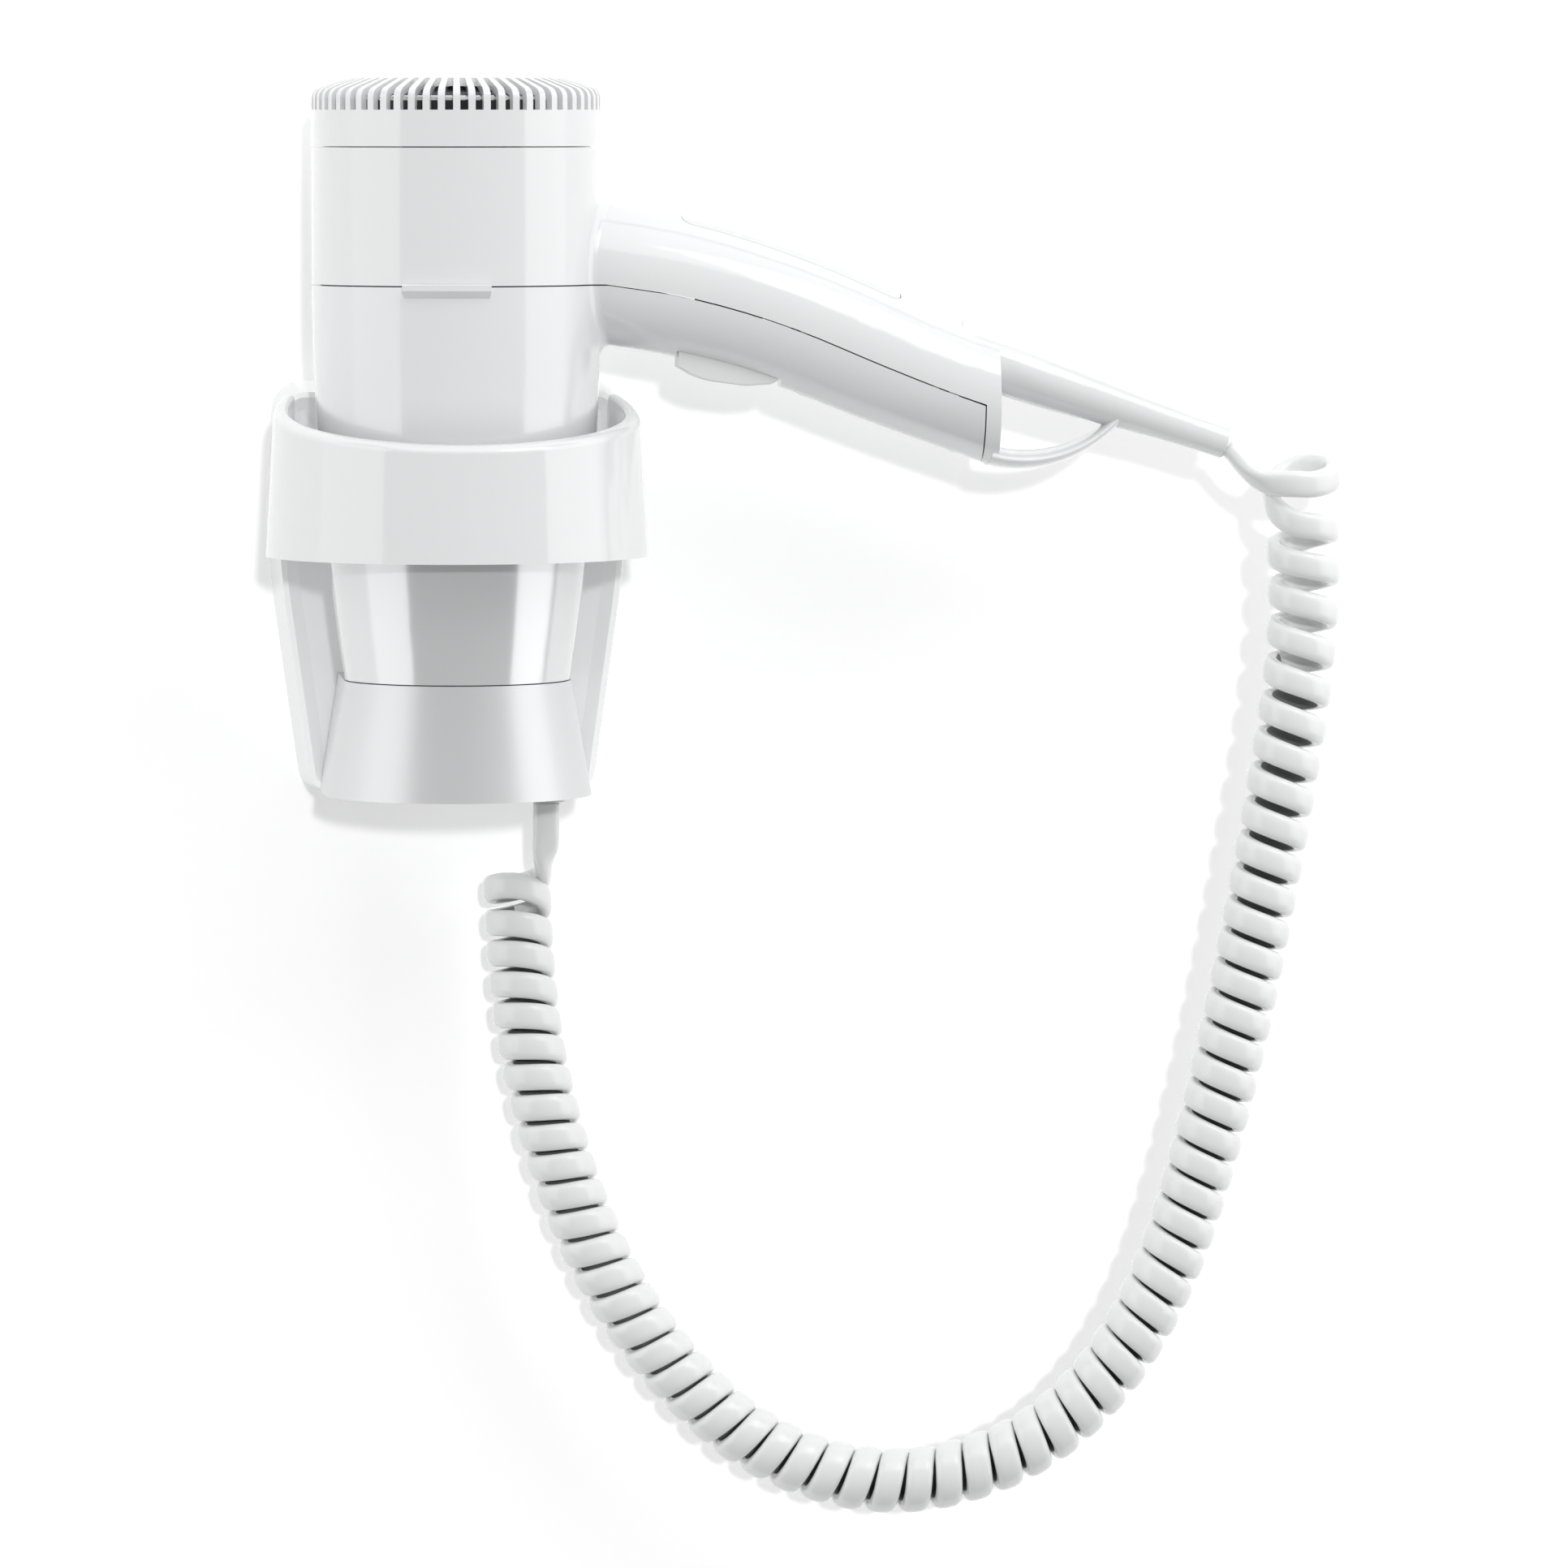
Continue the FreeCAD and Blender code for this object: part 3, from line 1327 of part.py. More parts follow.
def handle_parts():
    """Screws, control board with its parts, wires, and the cord's held end."""
    screws = []
    for at in ("front", "rear"):
        base = screw_seat(at)
        shaft = rod(f"{at}_screw_shaft", "screw_radius", "screw_length",
                    (f"screw_{at}_reach", "-barrel_reach", base))
        head = rod(f"{at}_screw_head", "screw_head_radius", "screw_head_height",
                   (f"screw_{at}_reach", "-barrel_reach", f"{base} - screw_head_height"))
        cross = box(f"{at}_screw_cross",
                    (f"screw_{at}_reach - 0.4", "-barrel_reach - 1.5",
                     f"{base} - screw_head_height - 1"),
                    (f"screw_{at}_reach + 0.4", "-barrel_reach + 1.5",
                     f"{base} - screw_head_height + 0.8"))
        screws.append(cut(f"{at}_screw", fuse(f"{at}_screw_whole", shaft, head), cross))
    node("housing_screws", group("two_housing_screws", *screws))

    middle = size("board_start + board_length / 2")
    x, z, tilt = spine((middle - size("handle_root_reach")) * 1.05)
    lie = FreeCAD.Rotation(V(0, 1, 0), math.degrees(tilt))
    place = FreeCAD.Placement(V(middle, -size("barrel_reach"), z + (x - middle) * math.tan(tilt)),
                              lie)

    def on_board(name, x0, y0, z0, x1, y1, z1):
        thing = doc.addObject("Part::Box", name)
        bind(thing, Length=f"({x1}) - ({x0})", Width=f"({y1}) - ({y0})",
             Height=f"({z1}) - ({z0})")
        corner = V(size(x0), size(y0), size(z0))
        thing.Placement = place.multiply(FreeCAD.Placement(corner, FreeCAD.Rotation()))
        return thing

    half = "board_half_width"
    node("control_board", on_board("board_sheet", "-board_length / 2", f"-{half}", "0",
                                   "board_length / 2", half, "board_thickness"))
    top = "board_thickness + 0.05"
    chips = [
        on_board("relay", "-11", "-9", top, "-1", "2", "9"),
        on_board("choke", "2", "-9", top, "9", "-3", "6"),
        on_board("triac", "4", "1", top, "6", "9", "8"),
        on_board("filter_block", "-10", "4.5", top, "0", "9.5", "7"),
    ]
    node("board_parts", group("four_board_parts", *chips))

    end, along, down = arm_frame(1.0)
    drop = V(0, 0, size("arm_end_drop"))
    start = end - drop
    tail_length = size("arm_length + 8")
    tail = rod("tail_rod", "cord_radius", "arm_length + 8", ("0", "0", "0"))
    turn = FreeCAD.Rotation(V(0, 1, 0), -90 + math.degrees(down))
    clear_setting(tail)
    tail.Placement = FreeCAD.Placement(start, turn)
    node("cord_tail", tail)
    collar = doc.addObject("Part::Cylinder", "bush_outside")
    bind(collar, Radius="cord_radius + bush_wall - 0.05", Height="bush_length")
    hole = doc.addObject("Part::Cylinder", "bush_inside")
    bind(hole, Radius="cord_radius + 0.05", Height="bush_length + 2")
    collar.Placement = FreeCAD.Placement(start + along * 0.2, turn)
    hole.Placement = FreeCAD.Placement(start + along * 1.0, turn)
    node("cord_bush", cut("bush_ring", collar, hole))
    eye = doc.addObject("Part::Cylinder", "clamp_eye")
    bind(eye, Radius="cord_radius + 0.05", Height="arm_length + 20")
    eye.Placement = FreeCAD.Placement(start, turn)
    inner = handle_loft("clamp_outline", "handle_wall + 0.3")
    plate = common("clamp_plate", inner, reach_box("clamp_span", "138.4", "141.4"))
    tail_end = start - along * tail_length
    recess = box("clamp_recess",
                 ("138", "-barrel_reach - 5.4", f"{tail_end.z:.4f} - 1.2"),
                 ("140.3", "-barrel_reach + 5.4", f"{tail_end.z:.4f} + 3.0"))
    node("cord_clamp", cut("clamp_cut", plate, eye, recess))
    wires = []
    for side in (-1, 1):
        y = -size("barrel_reach") + side * 5.5
        reach = size("board_start")
        first = [
            V(size("shelf_start + 17"), y, size("shelf_bottom + 16")),
            V(reach - 12, y, size("shelf_bottom + 14")),
            V(reach - 2.0, y, place.Base.z + 8.5),
            V(reach + 3, y, place.Base.z + 7.2),
        ]
        wires.append(tube(bent_path(first)[0], 0.9))
        second = [
            V(reach + 24, y, place.Base.z - 1.2),
            V(reach + 30, y, place.Base.z - 3.6),
            V(reach + 37.2, y, tail_end.z + 1.7),
            tail_end - along * 0.9 + V(0, side * 1.3, 0),
        ]
        wires.append(tube(bent_path(second)[0], 0.9))
    node("handle_wires", feature("four_wires", Part.Compound(wires)))


def clear_setting(thing):
    """Let a placement be set whole instead of axis by axis."""
    for axis in "xyz":
        thing.setExpression(f"Placement.Base.{axis}", None)


# ---------------------------------------------------------------------- holder
# The cut-off plunger stands under the back of the nozzle's rim.
PLUNGER_AT = "(nozzle_radius - barrel_reach - shell_wall / 2)"
CUTOFF_TOP = "(hump_top - hump_wall - 0.1)"
# The terminal block stands beside the cut-off switch.
BLOCK_RIGHT = "(cutoff_half_width + block_gap)"


def holder_ring(inset, depth):
    """Closed outline of the holder at a depth off the wall, drawn in by an
    inset; the sides bow out and every corner is round."""
    top = size("holder_top")
    low = size("holder_bottom")
    wide = V(size("band_radius - band_pinch + holder_side_step"), 0, size("holder_wide_height"))
    grade = size("holder_top_narrow / (holder_narrow_height - holder_wide_height)")
    head = V(wide.x - grade * (top - wide.z), 0, top)
    grade = size("holder_low_narrow / (holder_narrow_height + holder_wide_height)")
    foot = V(wide.x - grade * (wide.z - low), 0, low)
    right = [head, wide, foot]
    left = [V(-p.x, 0, p.z) for p in reversed(right)]
    corners = right + left
    least = size("holder_least_corner")
    radii = [
        max(size("holder_top_corner") - inset, least),
        size("holder_side_radius") - inset * size("holder_side_shrink"),
        max(size("holder_low_corner") - inset, least),
    ]
    radii = radii + list(reversed(radii))
    lines = []
    for index, point in enumerate(corners):
        nxt = corners[(index + 1) % 6]
        way = (nxt - point).normalize()
        inward = V(way.z, 0, -way.x)
        lines.append((point + inward * inset, way))
    drawn = []
    for index in range(6):
        p, a = lines[index - 1]
        q, b = lines[index]
        cross = a.x * b.z - a.z * b.x
        share = ((q.x - p.x) * b.z - (q.z - p.z) * b.x) / cross
        drawn.append(p + a * share)
    edges = []
    ends = []
    for index, corner in enumerate(drawn):
        a = lines[index - 1][1]
        b = lines[index][1]
        turn = a.getAngle(b)
        radius = radii[index]
        back = radius * math.tan(turn / 2)
        enter = corner - a * back
        leave = corner + b * back
        bisector = ((enter + leave) * 0.5 - corner).normalize()
        middle = corner + bisector * (radius / math.cos(turn / 2) - radius)
        ends.append((enter, middle, leave))
    lift = V(0, -depth, 0)
    for index, (enter, middle, leave) in enumerate(ends):
        nxt = ends[(index + 1) % 6][0]
        edges.append(Part.Arc(enter + lift, middle + lift, leave + lift).toShape())
        edges.append(Part.LineSegment(leave + lift, nxt + lift).toShape())
    return Part.Wire(edges)


def bowl(name, gap):
    """The hollow front of the holder, drawn in all round by a gap."""
    depth = size("holder_depth")
    floor = size("floor_depth") + gap
    rim = depth * math.tan(math.radians(size("holder_draft"))) + size("holder_land") + gap
    close = size("bowl_inset")
    rings = [holder_ring(rim, depth + 20), holder_ring(rim, depth)]
    lower = []
    for share, part in ((0.25, 0.15), (0.6, 0.5), (1.0, 1.0)):
        lower.append(holder_ring(rim + close * part, depth + (floor - depth) * share))
    front = Part.makeLoft(rings, True, True)
    back = Part.makeLoft([rings[1]] + lower, True, True)
    return feature(name, front.fuse(back).removeSplitter())


def holder_tray():
    """Tray on the wall: bowl, hump under the nozzle, and its openings."""
    depth = size("holder_depth")
    narrow = depth * math.tan(math.radians(size("holder_draft")))
    shell = feature("tray_outside", Part.makeLoft(
        [holder_ring(0, 0), holder_ring(narrow, depth)], True, True))
    reach = size("tray_hollow_depth")
    wall = size("tray_wall")
    space = feature("tray_back_space", Part.makeLoft(
        [holder_ring(wall, -1), holder_ring(wall + narrow * reach / depth, reach)], True, True))
    back = cut("tray_back", space, bowl("tray_bowl_back", -size("floor_wall")))
    face = "-hump_depth"
    inner = "-hump_depth + hump_wall"
    upper = box("hump_upper", ("-hump_half_width", face, "hump_step - 1"),
                ("hump_half_width", "-floor_depth + 0.5", "hump_top"))
    lower = box("hump_lower", ("-hump_low_half_width", face, "hump_bottom"),
                ("hump_low_half_width", "-floor_depth + 0.5", "hump_step"))
    upper_hollow = box("hump_upper_hollow",
                       ("hump_wall - hump_half_width", inner, "hump_bottom + hump_wall"),
                       ("hump_half_width - hump_wall", "1", "hump_top - hump_wall"))
    lower_hollow = box("hump_lower_hollow",
                       ("hump_wall - hump_low_half_width", inner, "hump_bottom + hump_wall"),
                       ("hump_low_half_width - hump_wall", "1", "hump_step - hump_wall"))
    ring = rod("tray_ring_hole", "(band_radius - band_wall)", "60", ("0", "-barrel_reach", "20"))
    solid = fuse("tray_solid", cut("tray_bowl_cut", shell, bowl("tray_bowl", 0.0)), upper, lower)
    holes = [
        rod("plunger_hole", "plunger_radius + plunger_fit", "6", ("0", PLUNGER_AT, "hump_top - 4")),
        rod("cord_way", "cord_radius + 0.7", "6",
            ("holder_bush_reach", "-holder_bush_depth", "hump_bottom - 2")),
    ]
    for side in ("-", ""):
        holes.append(rod(f"cover_hole{side}", "screw_radius + 0.3", "12",
                         (f"{side}cover_screw_reach", "-14", "cover_screw_height"), "+Y"))
    node("holder_tray", cut("tray_done", solid, back, upper_hollow, lower_hollow, ring, *holes))


def band_plan(host, name, radius, rear, lift):
    """Plan of the band: half round in front, its sides closing in to the rear."""
    side = f"(({rear})^2 + band_pinch^2) / (2 * band_pinch)"
    return outline(host, name, "XY_Plane", [[
        (f"band_pinch - {radius}", rear),
        (f"-{radius}", "0", side),
        ("0", f"-{radius}", radius),
        (radius, "0", radius),
        (f"{radius} - band_pinch", rear, side),
    ]], lift=lift)


def holder_band():
    """Deep band that rings the barrel; its top slopes up to the wall."""
    rear = "(barrel_reach - holder_depth)"
    host = body("band_body")
    pad(host, band_plan(host, "band_outside", "band_radius", rear, "band_bottom"), "60",
        draft="-band_draft")
    core = body("band_core_body")
    pad(core, band_plan(core, "band_inside", "(band_radius - band_wall)", rear, "band_bottom - 5"),
        "80")
    doc.recompute()
    rear_trim = box("band_rear_trim", ("-80", "-holder_depth - seam_gap", "-10"),
                    ("80", "40", "90"))
    slope = box("band_slope_cut", ("-90", "-barrel_reach - band_radius", "band_front_height"),
                ("90", "90", "band_front_height + 60"),
                turn=FreeCAD.Rotation(V(1, 0, 0), size("band_slope")))
    blank = cut("band_blank", host, core, rear_trim, slope)
    doc.recompute()
    tilt = math.tan(math.radians(size("band_slope")))
    outer_round = "band_wall * band_top_share"
    inner_round = "band_wall * band_inner_share"
    outer = []
    inner = []
    for number, edge in enumerate(blank.Shape.Edges, 1):
        spots = [edge.valueAt(edge.FirstParameter + share *
                 (edge.LastParameter - edge.FirstParameter)) for share in (0.0, 0.5, 1.0)]
        rise = [p.z - size("band_front_height")
                - (p.y + size("barrel_reach + band_radius")) * tilt for p in spots]
        if max(abs(r) for r in rise) > 0.01:
            continue
        if all(p.y > -size("holder_depth") - 1.0 for p in spots):
            continue
        reach = [max(abs(p.x), math.hypot(p.x, p.y + size("barrel_reach"))
                     if p.y < -size("barrel_reach") else 0.0) for p in spots]
        limit = size("(band_radius - band_wall) + 1")
        if min(reach) > limit:
            outer.append((number, size(outer_round), size(outer_round)))
        elif max(reach) < limit:
            inner.append((number, size(inner_round), size(inner_round)))
    rounded = doc.addObject("Part::Fillet", "band_rounded")
    rounded.Base = blank
    rounded.Edges = outer + inner
    node("holder_band", rounded)


def nozzle_rest():
    """Flared bib below the nozzle; its ledge carries the nozzle's rim."""
    host = body("rest_body")
    top = "(nozzle_bottom - rest_gap)"
    rear = "(barrel_reach - floor_depth)"
    drop = f"({top} - rest_bottom)"
    loop = [
        ("-rest_radius", rear),
        ("-rest_radius", "0"),
        ("0", "-rest_radius", "rest_radius"),
        ("rest_radius", "0", "rest_radius"),
        ("rest_radius", rear),
    ]
    pad(host, outline(host, "rest_plan", "XY_Plane", [loop], lift=top), drop,
        back=True, draft="rest_flare")
    doc.recompute()
    thin = "(rest_radius - rest_wall)"
    ledge = "2.5"
    cone = body("rest_hollow_body")
    loop = [
        (f"-{thin}", rear),
        (f"-{thin}", "0"),
        ("0", f"-{thin}", thin),
        (thin, "0", thin),
        (thin, rear),
    ]
    pad(cone, outline(cone, "rest_hollow_plan", "XY_Plane", [loop], lift=f"{top} - {ledge}"),
        f"{drop} + 5", back=True, draft="rest_flare")
    doc.recompute()
    mouth = rod("rest_mouth", "rest_hole_radius", "20", ("0", "-barrel_reach", f"{top} - 10"))
    back_cut = box("rest_back_cut", ("-rest_hole_radius - 2", f"{PLUNGER_AT} - 3.8", f"{top} - 6"),
                   ("rest_hole_radius + 2", "5", "0"))
    shell = cut("rest_shell", host, cone, mouth, back_cut)
    front = box("rest_front", ("-60", "-130", "-80"), ("60", "-holder_depth", "0"))
    space = fuse("rest_space", front, bowl("rest_bowl", 0.3))
    node("nozzle_rest", common("rest_fitted", shell, space))


def wall_plate():
    """Screwed-on back plate with bosses for the cover screws."""
    host = body("plate_body", y="0")
    loop = [
        ("plate_half_width - plate_corner", "-plate_half_height"),
        ("plate_half_width", "plate_corner - plate_half_height", "plate_corner"),
        ("plate_half_width", "plate_half_height - plate_corner"),
        ("plate_half_width - plate_corner", "plate_half_height", "plate_corner"),
        ("plate_corner - plate_half_width", "plate_half_height"),
        ("-plate_half_width", "plate_half_height - plate_corner", "plate_corner"),
        ("-plate_half_width", "plate_corner - plate_half_height"),
        ("plate_corner - plate_half_width", "-plate_half_height", "plate_corner"),
    ]
    pad(host, outline(host, "plate_outline", "XZ_Plane", [loop]), "plate_thickness")
    doc.recompute()
    bosses = []
    tools = [rod("inlet_hole", "inlet_radius", "20", ("0", "-10", "inlet_height"), "+Y")]
    for side in ("-", ""):
        bosses.append(rod(f"plate_boss{side}", "boss_radius",
                          "floor_depth - floor_wall - 0.2",
                          (f"{side}cover_screw_reach", "-floor_depth + floor_wall + 0.2",
                           "cover_screw_height"), "+Y"))
        tools.append(rod(f"plate_pilot{side}", "screw_radius + screw_fit", "20",
                         (f"{side}cover_screw_reach", "-10", "cover_screw_height"), "+Y"))
        for level in ("-", ""):
            tools.append(rod(f"wall_hole{side}{level}", "wall_hole_radius", "20",
                             (f"{side}wall_hole_half_x", "-10", f"{level}wall_hole_half_z"),
                             "+Y"))
    node("wall_plate", cut("plate_drilled", fuse("plate_joined", host, *bosses), *tools))
    ring = rod("grommet_outside", "inlet_radius - 0.05", "plate_thickness + 1.5",
               ("0", "-plate_thickness - 1.5", "inlet_height"), "+Y")
    flange = rod("grommet_flange", "inlet_radius + 1.5", "1.2",
                 ("0", "-plate_thickness - 1.25", "inlet_height"), "+Y")
    way = rod("grommet_way", "inlet_radius - grommet_wall", "20", ("0", "-10", "inlet_height"),
              "+Y")
    node("supply_grommet", cut("grommet_cut", fuse("grommet_whole", ring, flange), way))


def holder_parts():
    """Screws, terminal block, cut-off switch, plunger, spring and cord entry."""
    screws = []
    for side in ("-", ""):
        head = "-floor_depth - screw_head_height - 0.05"
        shaft = rod(f"cover_shaft{side}", "screw_radius", "floor_depth - 0.6",
                    (f"{side}cover_screw_reach", "-floor_depth - 0.1", "cover_screw_height"),
                    "+Y")
        cap = rod(f"cover_head{side}", "screw_head_radius", "screw_head_height",
                  (f"{side}cover_screw_reach", head, "cover_screw_height"), "+Y")
        cross = box(f"cover_cross{side}",
                    (f"{side}cover_screw_reach - 1.5", f"{head} - 1", "cover_screw_height - 0.4"),
                    (f"{side}cover_screw_reach + 1.5", f"{head} + 0.8",
                     "cover_screw_height + 0.4"))
        screws.append(cut(f"cover_screw{side}", fuse(f"cover_whole{side}", shaft, cap), cross))
    node("cover_screws", group("two_cover_screws", *screws))

    block = box("block_case",
                (f"-{BLOCK_RIGHT} - block_width", "-plate_thickness - block_depth",
                 "block_top - block_height"),
                (f"-{BLOCK_RIGHT}", "-plate_thickness - 0.05", "block_top"))
    ways = []
    for index in range(2):
        x = f"-{BLOCK_RIGHT} - block_width / 2 + ({index - 0.5}) * block_way_pitch"
        ways.append(rod(f"block_way{index}", "block_way_radius", "block_height + 8",
                        (x, "-plate_thickness - block_depth / 2",
                         "block_top - block_height - 4")))
        ways.append(rod(f"block_screw_way{index}", "block_screw_radius", "block_depth / 2 - 1",
                        (x, "-plate_thickness - block_depth - 1",
                         "block_top - block_height / 2"), "+Y"))
    node("terminal_block", cut("block_cut", block, *ways))

    low = f"{CUTOFF_TOP} - cutoff_height"
    case = box("cutoff_case", ("-cutoff_half_width", f"{PLUNGER_AT} - cutoff_depth / 2", low),
               ("cutoff_half_width", f"{PLUNGER_AT} + cutoff_depth / 2", CUTOFF_TOP))
    wide = rod("cutoff_well", "3.6", "cutoff_height - 2.8", ("0", PLUNGER_AT, f"{low} + 1.4"))
    narrow = rod("cutoff_neck", "plunger_radius + plunger_fit", "20", ("0", PLUNGER_AT, "-32"))
    node("cutoff_switch", cut("cutoff_cut", case, wide, narrow))
    stem = rod("plunger_stem", "plunger_radius", "nozzle_bottom - 0.2 + 34.5",
               ("0", PLUNGER_AT, "-34.5"))
    collar = rod("plunger_collar", "3.4", "1.5", ("0", PLUNGER_AT, "-34.5"))
    node("switch_plunger", fuse("plunger_whole", stem, collar))
    spring = helix_spring("0", PLUNGER_AT, f"{low} + 1.45", "-34.55", 2.6, 0.4, 4)
    node("plunger_spring", feature("spring_wire", spring))

    base = "hump_bottom - holder_bush_length"
    flange = rod("entry_flange", "5.2", "holder_bush_length - 0.1",
                 ("holder_bush_reach", "-holder_bush_depth", base))
    neck = rod("entry_neck", "cord_radius + 0.65", "holder_bush_length + 2.5",
               ("holder_bush_reach", "-holder_bush_depth", base))
    eye = rod("entry_eye", "cord_radius + 0.05", "20",
              ("holder_bush_reach", "-holder_bush_depth", f"{base} - 2"))
    node("holder_cord_bush", cut("entry_cut", fuse("entry_whole", flange, neck), eye))
    node("holder_cord_tail", rod("holder_tail_rod", "cord_radius", "entry_length",
                                 ("holder_bush_reach", "-holder_bush_depth", f"{base} + 0.1")))
    wires = []
    top = size(f"{base} + entry_length + 0.3")
    for index, x in enumerate((-19, -13)):
        y = -size("holder_bush_depth") + (index * 2 - 1) * 1.3
        points = [
            V(size("holder_bush_reach") - 1, y, top),
            V(size("holder_bush_reach") - 1, y, top + 2.5),
            V(10, -17, top + 1.5 + index),
            V(x + 9, -size("plate_thickness") - 6, top + 0.5 - index),
            V(x, -size("plate_thickness") - 6, top - 1.0),
            V(x, -size("plate_thickness") - 6, top + 4.5),
        ]
        wires.append(tube(bent_path(points, 0.4)[0], 0.8))
    node("holder_wires", feature("two_holder_wires", Part.Compound(wires)))


def helix_spring(x, y, low, high, radius, wire_radius, turns):
    """Compression spring between two levels, one tube in biarcs."""
    centre = V(size(x), size(y), 0)
    bottom = size(low) + wire_radius
    top = size(high) - wire_radius
    steps = turns * 4
    rise = (top - bottom) / steps
    points = []
    ways = []
    for step in range(steps + 1):
        angle = math.pi / 2 * step
        out = V(math.cos(angle), math.sin(angle), 0)
        points.append(centre + UP * (bottom + rise * step) + out * radius)
        ways.append((V(-out.y, out.x, 0) * (math.pi / 2 * radius) + UP * rise).normalize())
    edges = []
    for index in range(steps):
        edges += biarc(points[index], ways[index], points[index + 1], ways[index + 1])
    return tube(Part.Wire(edges), wire_radius)


# ------------------------------------------------------------------ free cord
def coil_line():
    """Centre line of the curls: a quadratic curve led by the route's points."""
    count = len(COIL_ROUTE)
    line = Part.BSplineCurve()
    line.buildFromPolesMultsKnots([V(*p) for p in COIL_ROUTE], [3] + [1] * (count - 3) + [3],
                                  list(range(count - 1)), False, 2)
    return line


def coil_wire():
    """Left-handed curls about the route, wider apart at the dryer's end."""
    line = coil_line()
    length = line.length()
    radius = size("coil_radius")

    def spot(along, angle):
        at = line.parameterAtDistance(along, line.FirstParameter)
        heading = V(*line.tangent(at)[0]).normalize()
        front = V(0, -1, 0)
        front = (front - heading * front.dot(heading)).normalize()
        side = heading.cross(front)
        return line.value(at) + (front * math.cos(angle) + side * math.sin(angle)) * radius

    def pitch(along):
        open_up = math.exp(-along / size("coil_open_length"))
        return size("coil_tight_pitch") + size("coil_open_pitch") * open_up

    fine = 64
    lengths = [6.0]
    angles = [0.0]
    while lengths[-1] < length - 1.0:
        lengths.append(lengths[-1] + pitch(lengths[-1]) / fine)
        angles.append(angles[-1] - 2 * math.pi / fine)
    last = (len(lengths) - 1 + fine // 4) // fine * fine - fine // 4
    points = []
    ways = []
    small = 0.001
    for index in range(0, last + 1, fine // 4):
        along = lengths[index]
        angle = angles[index]
        turn = 2 * math.pi / pitch(along) * small
        ahead = spot(along + small, angle - turn)
        behind = spot(along - small, angle + turn)
        points.append(spot(along, angle))
        ways.append((ahead - behind).normalize())
    turns = -angles[last] / (2 * math.pi)
    return helix(points, ways, 2 * size("cord_radius")), length, turns


def free_cord():
    """Lead from the handle, the coiled stretch, and lead into the holder."""
    radius = size("cord_radius")
    wire, length, turns = coil_wire()
    gap = least_gap(wire, radius, math.pi * size("coil_radius"))
    print(f"coil: {turns:.2f} turns on {length:.0f} mm, wire {wire.Length:.0f} mm,"
          f" least gap {gap:.2f} mm")
    node("cord_coil", feature("coil_tube", tube(wire, radius)))
    first = wire.OrderedEdges[0]
    last = wire.OrderedEdges[-1]
    start = first.valueAt(first.FirstParameter)
    start_way = first.tangentAt(first.FirstParameter)
    end = last.valueAt(last.LastParameter)
    end_way = last.tangentAt(last.LastParameter)
    arm_end, along, _ = arm_frame(1.0)
    exit_at = arm_end - V(0, 0, size("arm_end_drop")) + along * 0.3
    points = [exit_at] + [V(*p) for p in LEAD_FROM_ARM] + [start - start_way * 0.3]
    lead("cord_lead_dryer", points, radius)
    entry = V(size("holder_bush_reach"), -size("holder_bush_depth"),
              size("hump_bottom - holder_bush_length - 0.3"))
    points = [end + end_way * 0.3] + [V(*p) for p in LEAD_TO_HOLDER] + [entry]
    lead("cord_lead_holder", points, radius)


def lead(name, points, radius):
    path, radii = bent_path(points)
    shape = tube(path, radius)
    want = math.pi * radius ** 2 * path.Length
    print(name, "length", round(path.Length, 1), "arc radii", [round(r, 1) for r in radii],
          "points", [tuple(round(c, 2) for c in p) for p in points],
          "volume share", round(shape.Volume / want, 3))
    node(name, feature(name + "_tube", shape))


# ------------------------------------------------------------ build and export
housings()
rear_grille()
dust_filter()
filter_frame()
intake_funnel()
motor_carrier()
motor()
fan()
heater()
outlet_grille()
trigger()
handle_parts()
wall_plate()
holder_tray()
holder_band()
nozzle_rest()
holder_parts()
free_cord()
doc.recompute()

for thing in doc.Objects:
    if "Invalid" in thing.State or "Error" in thing.State:
        raise RuntimeError(f"{thing.Name} is {thing.State}")
for name, thing in NODES.items():
    shape = thing.Shape
    if shape.isNull() or not shape.isValid() or not shape.Solids:
        raise RuntimeError(f"{name} is not a valid solid")
    print(f"{name}: {len(shape.Solids)} solids, {shape.Volume:.0f} mm3")

os.makedirs("parts", exist_ok=True)
for name, thing in NODES.items():
    thing.Shape.exportStep(os.path.join("parts", name + ".step"))
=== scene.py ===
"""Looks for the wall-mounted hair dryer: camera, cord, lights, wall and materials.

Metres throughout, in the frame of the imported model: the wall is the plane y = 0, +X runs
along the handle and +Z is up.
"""
import math

import bpy
import numpy as np
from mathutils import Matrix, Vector


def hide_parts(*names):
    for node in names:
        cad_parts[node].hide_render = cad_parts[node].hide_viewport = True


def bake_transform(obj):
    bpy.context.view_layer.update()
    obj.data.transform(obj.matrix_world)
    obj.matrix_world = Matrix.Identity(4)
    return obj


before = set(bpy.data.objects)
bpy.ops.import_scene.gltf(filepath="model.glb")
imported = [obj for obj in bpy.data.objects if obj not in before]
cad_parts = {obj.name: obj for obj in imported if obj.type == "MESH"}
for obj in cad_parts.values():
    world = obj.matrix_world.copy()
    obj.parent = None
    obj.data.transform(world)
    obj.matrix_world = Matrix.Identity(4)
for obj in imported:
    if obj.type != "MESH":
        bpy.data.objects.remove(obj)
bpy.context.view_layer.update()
scene = bpy.context.scene

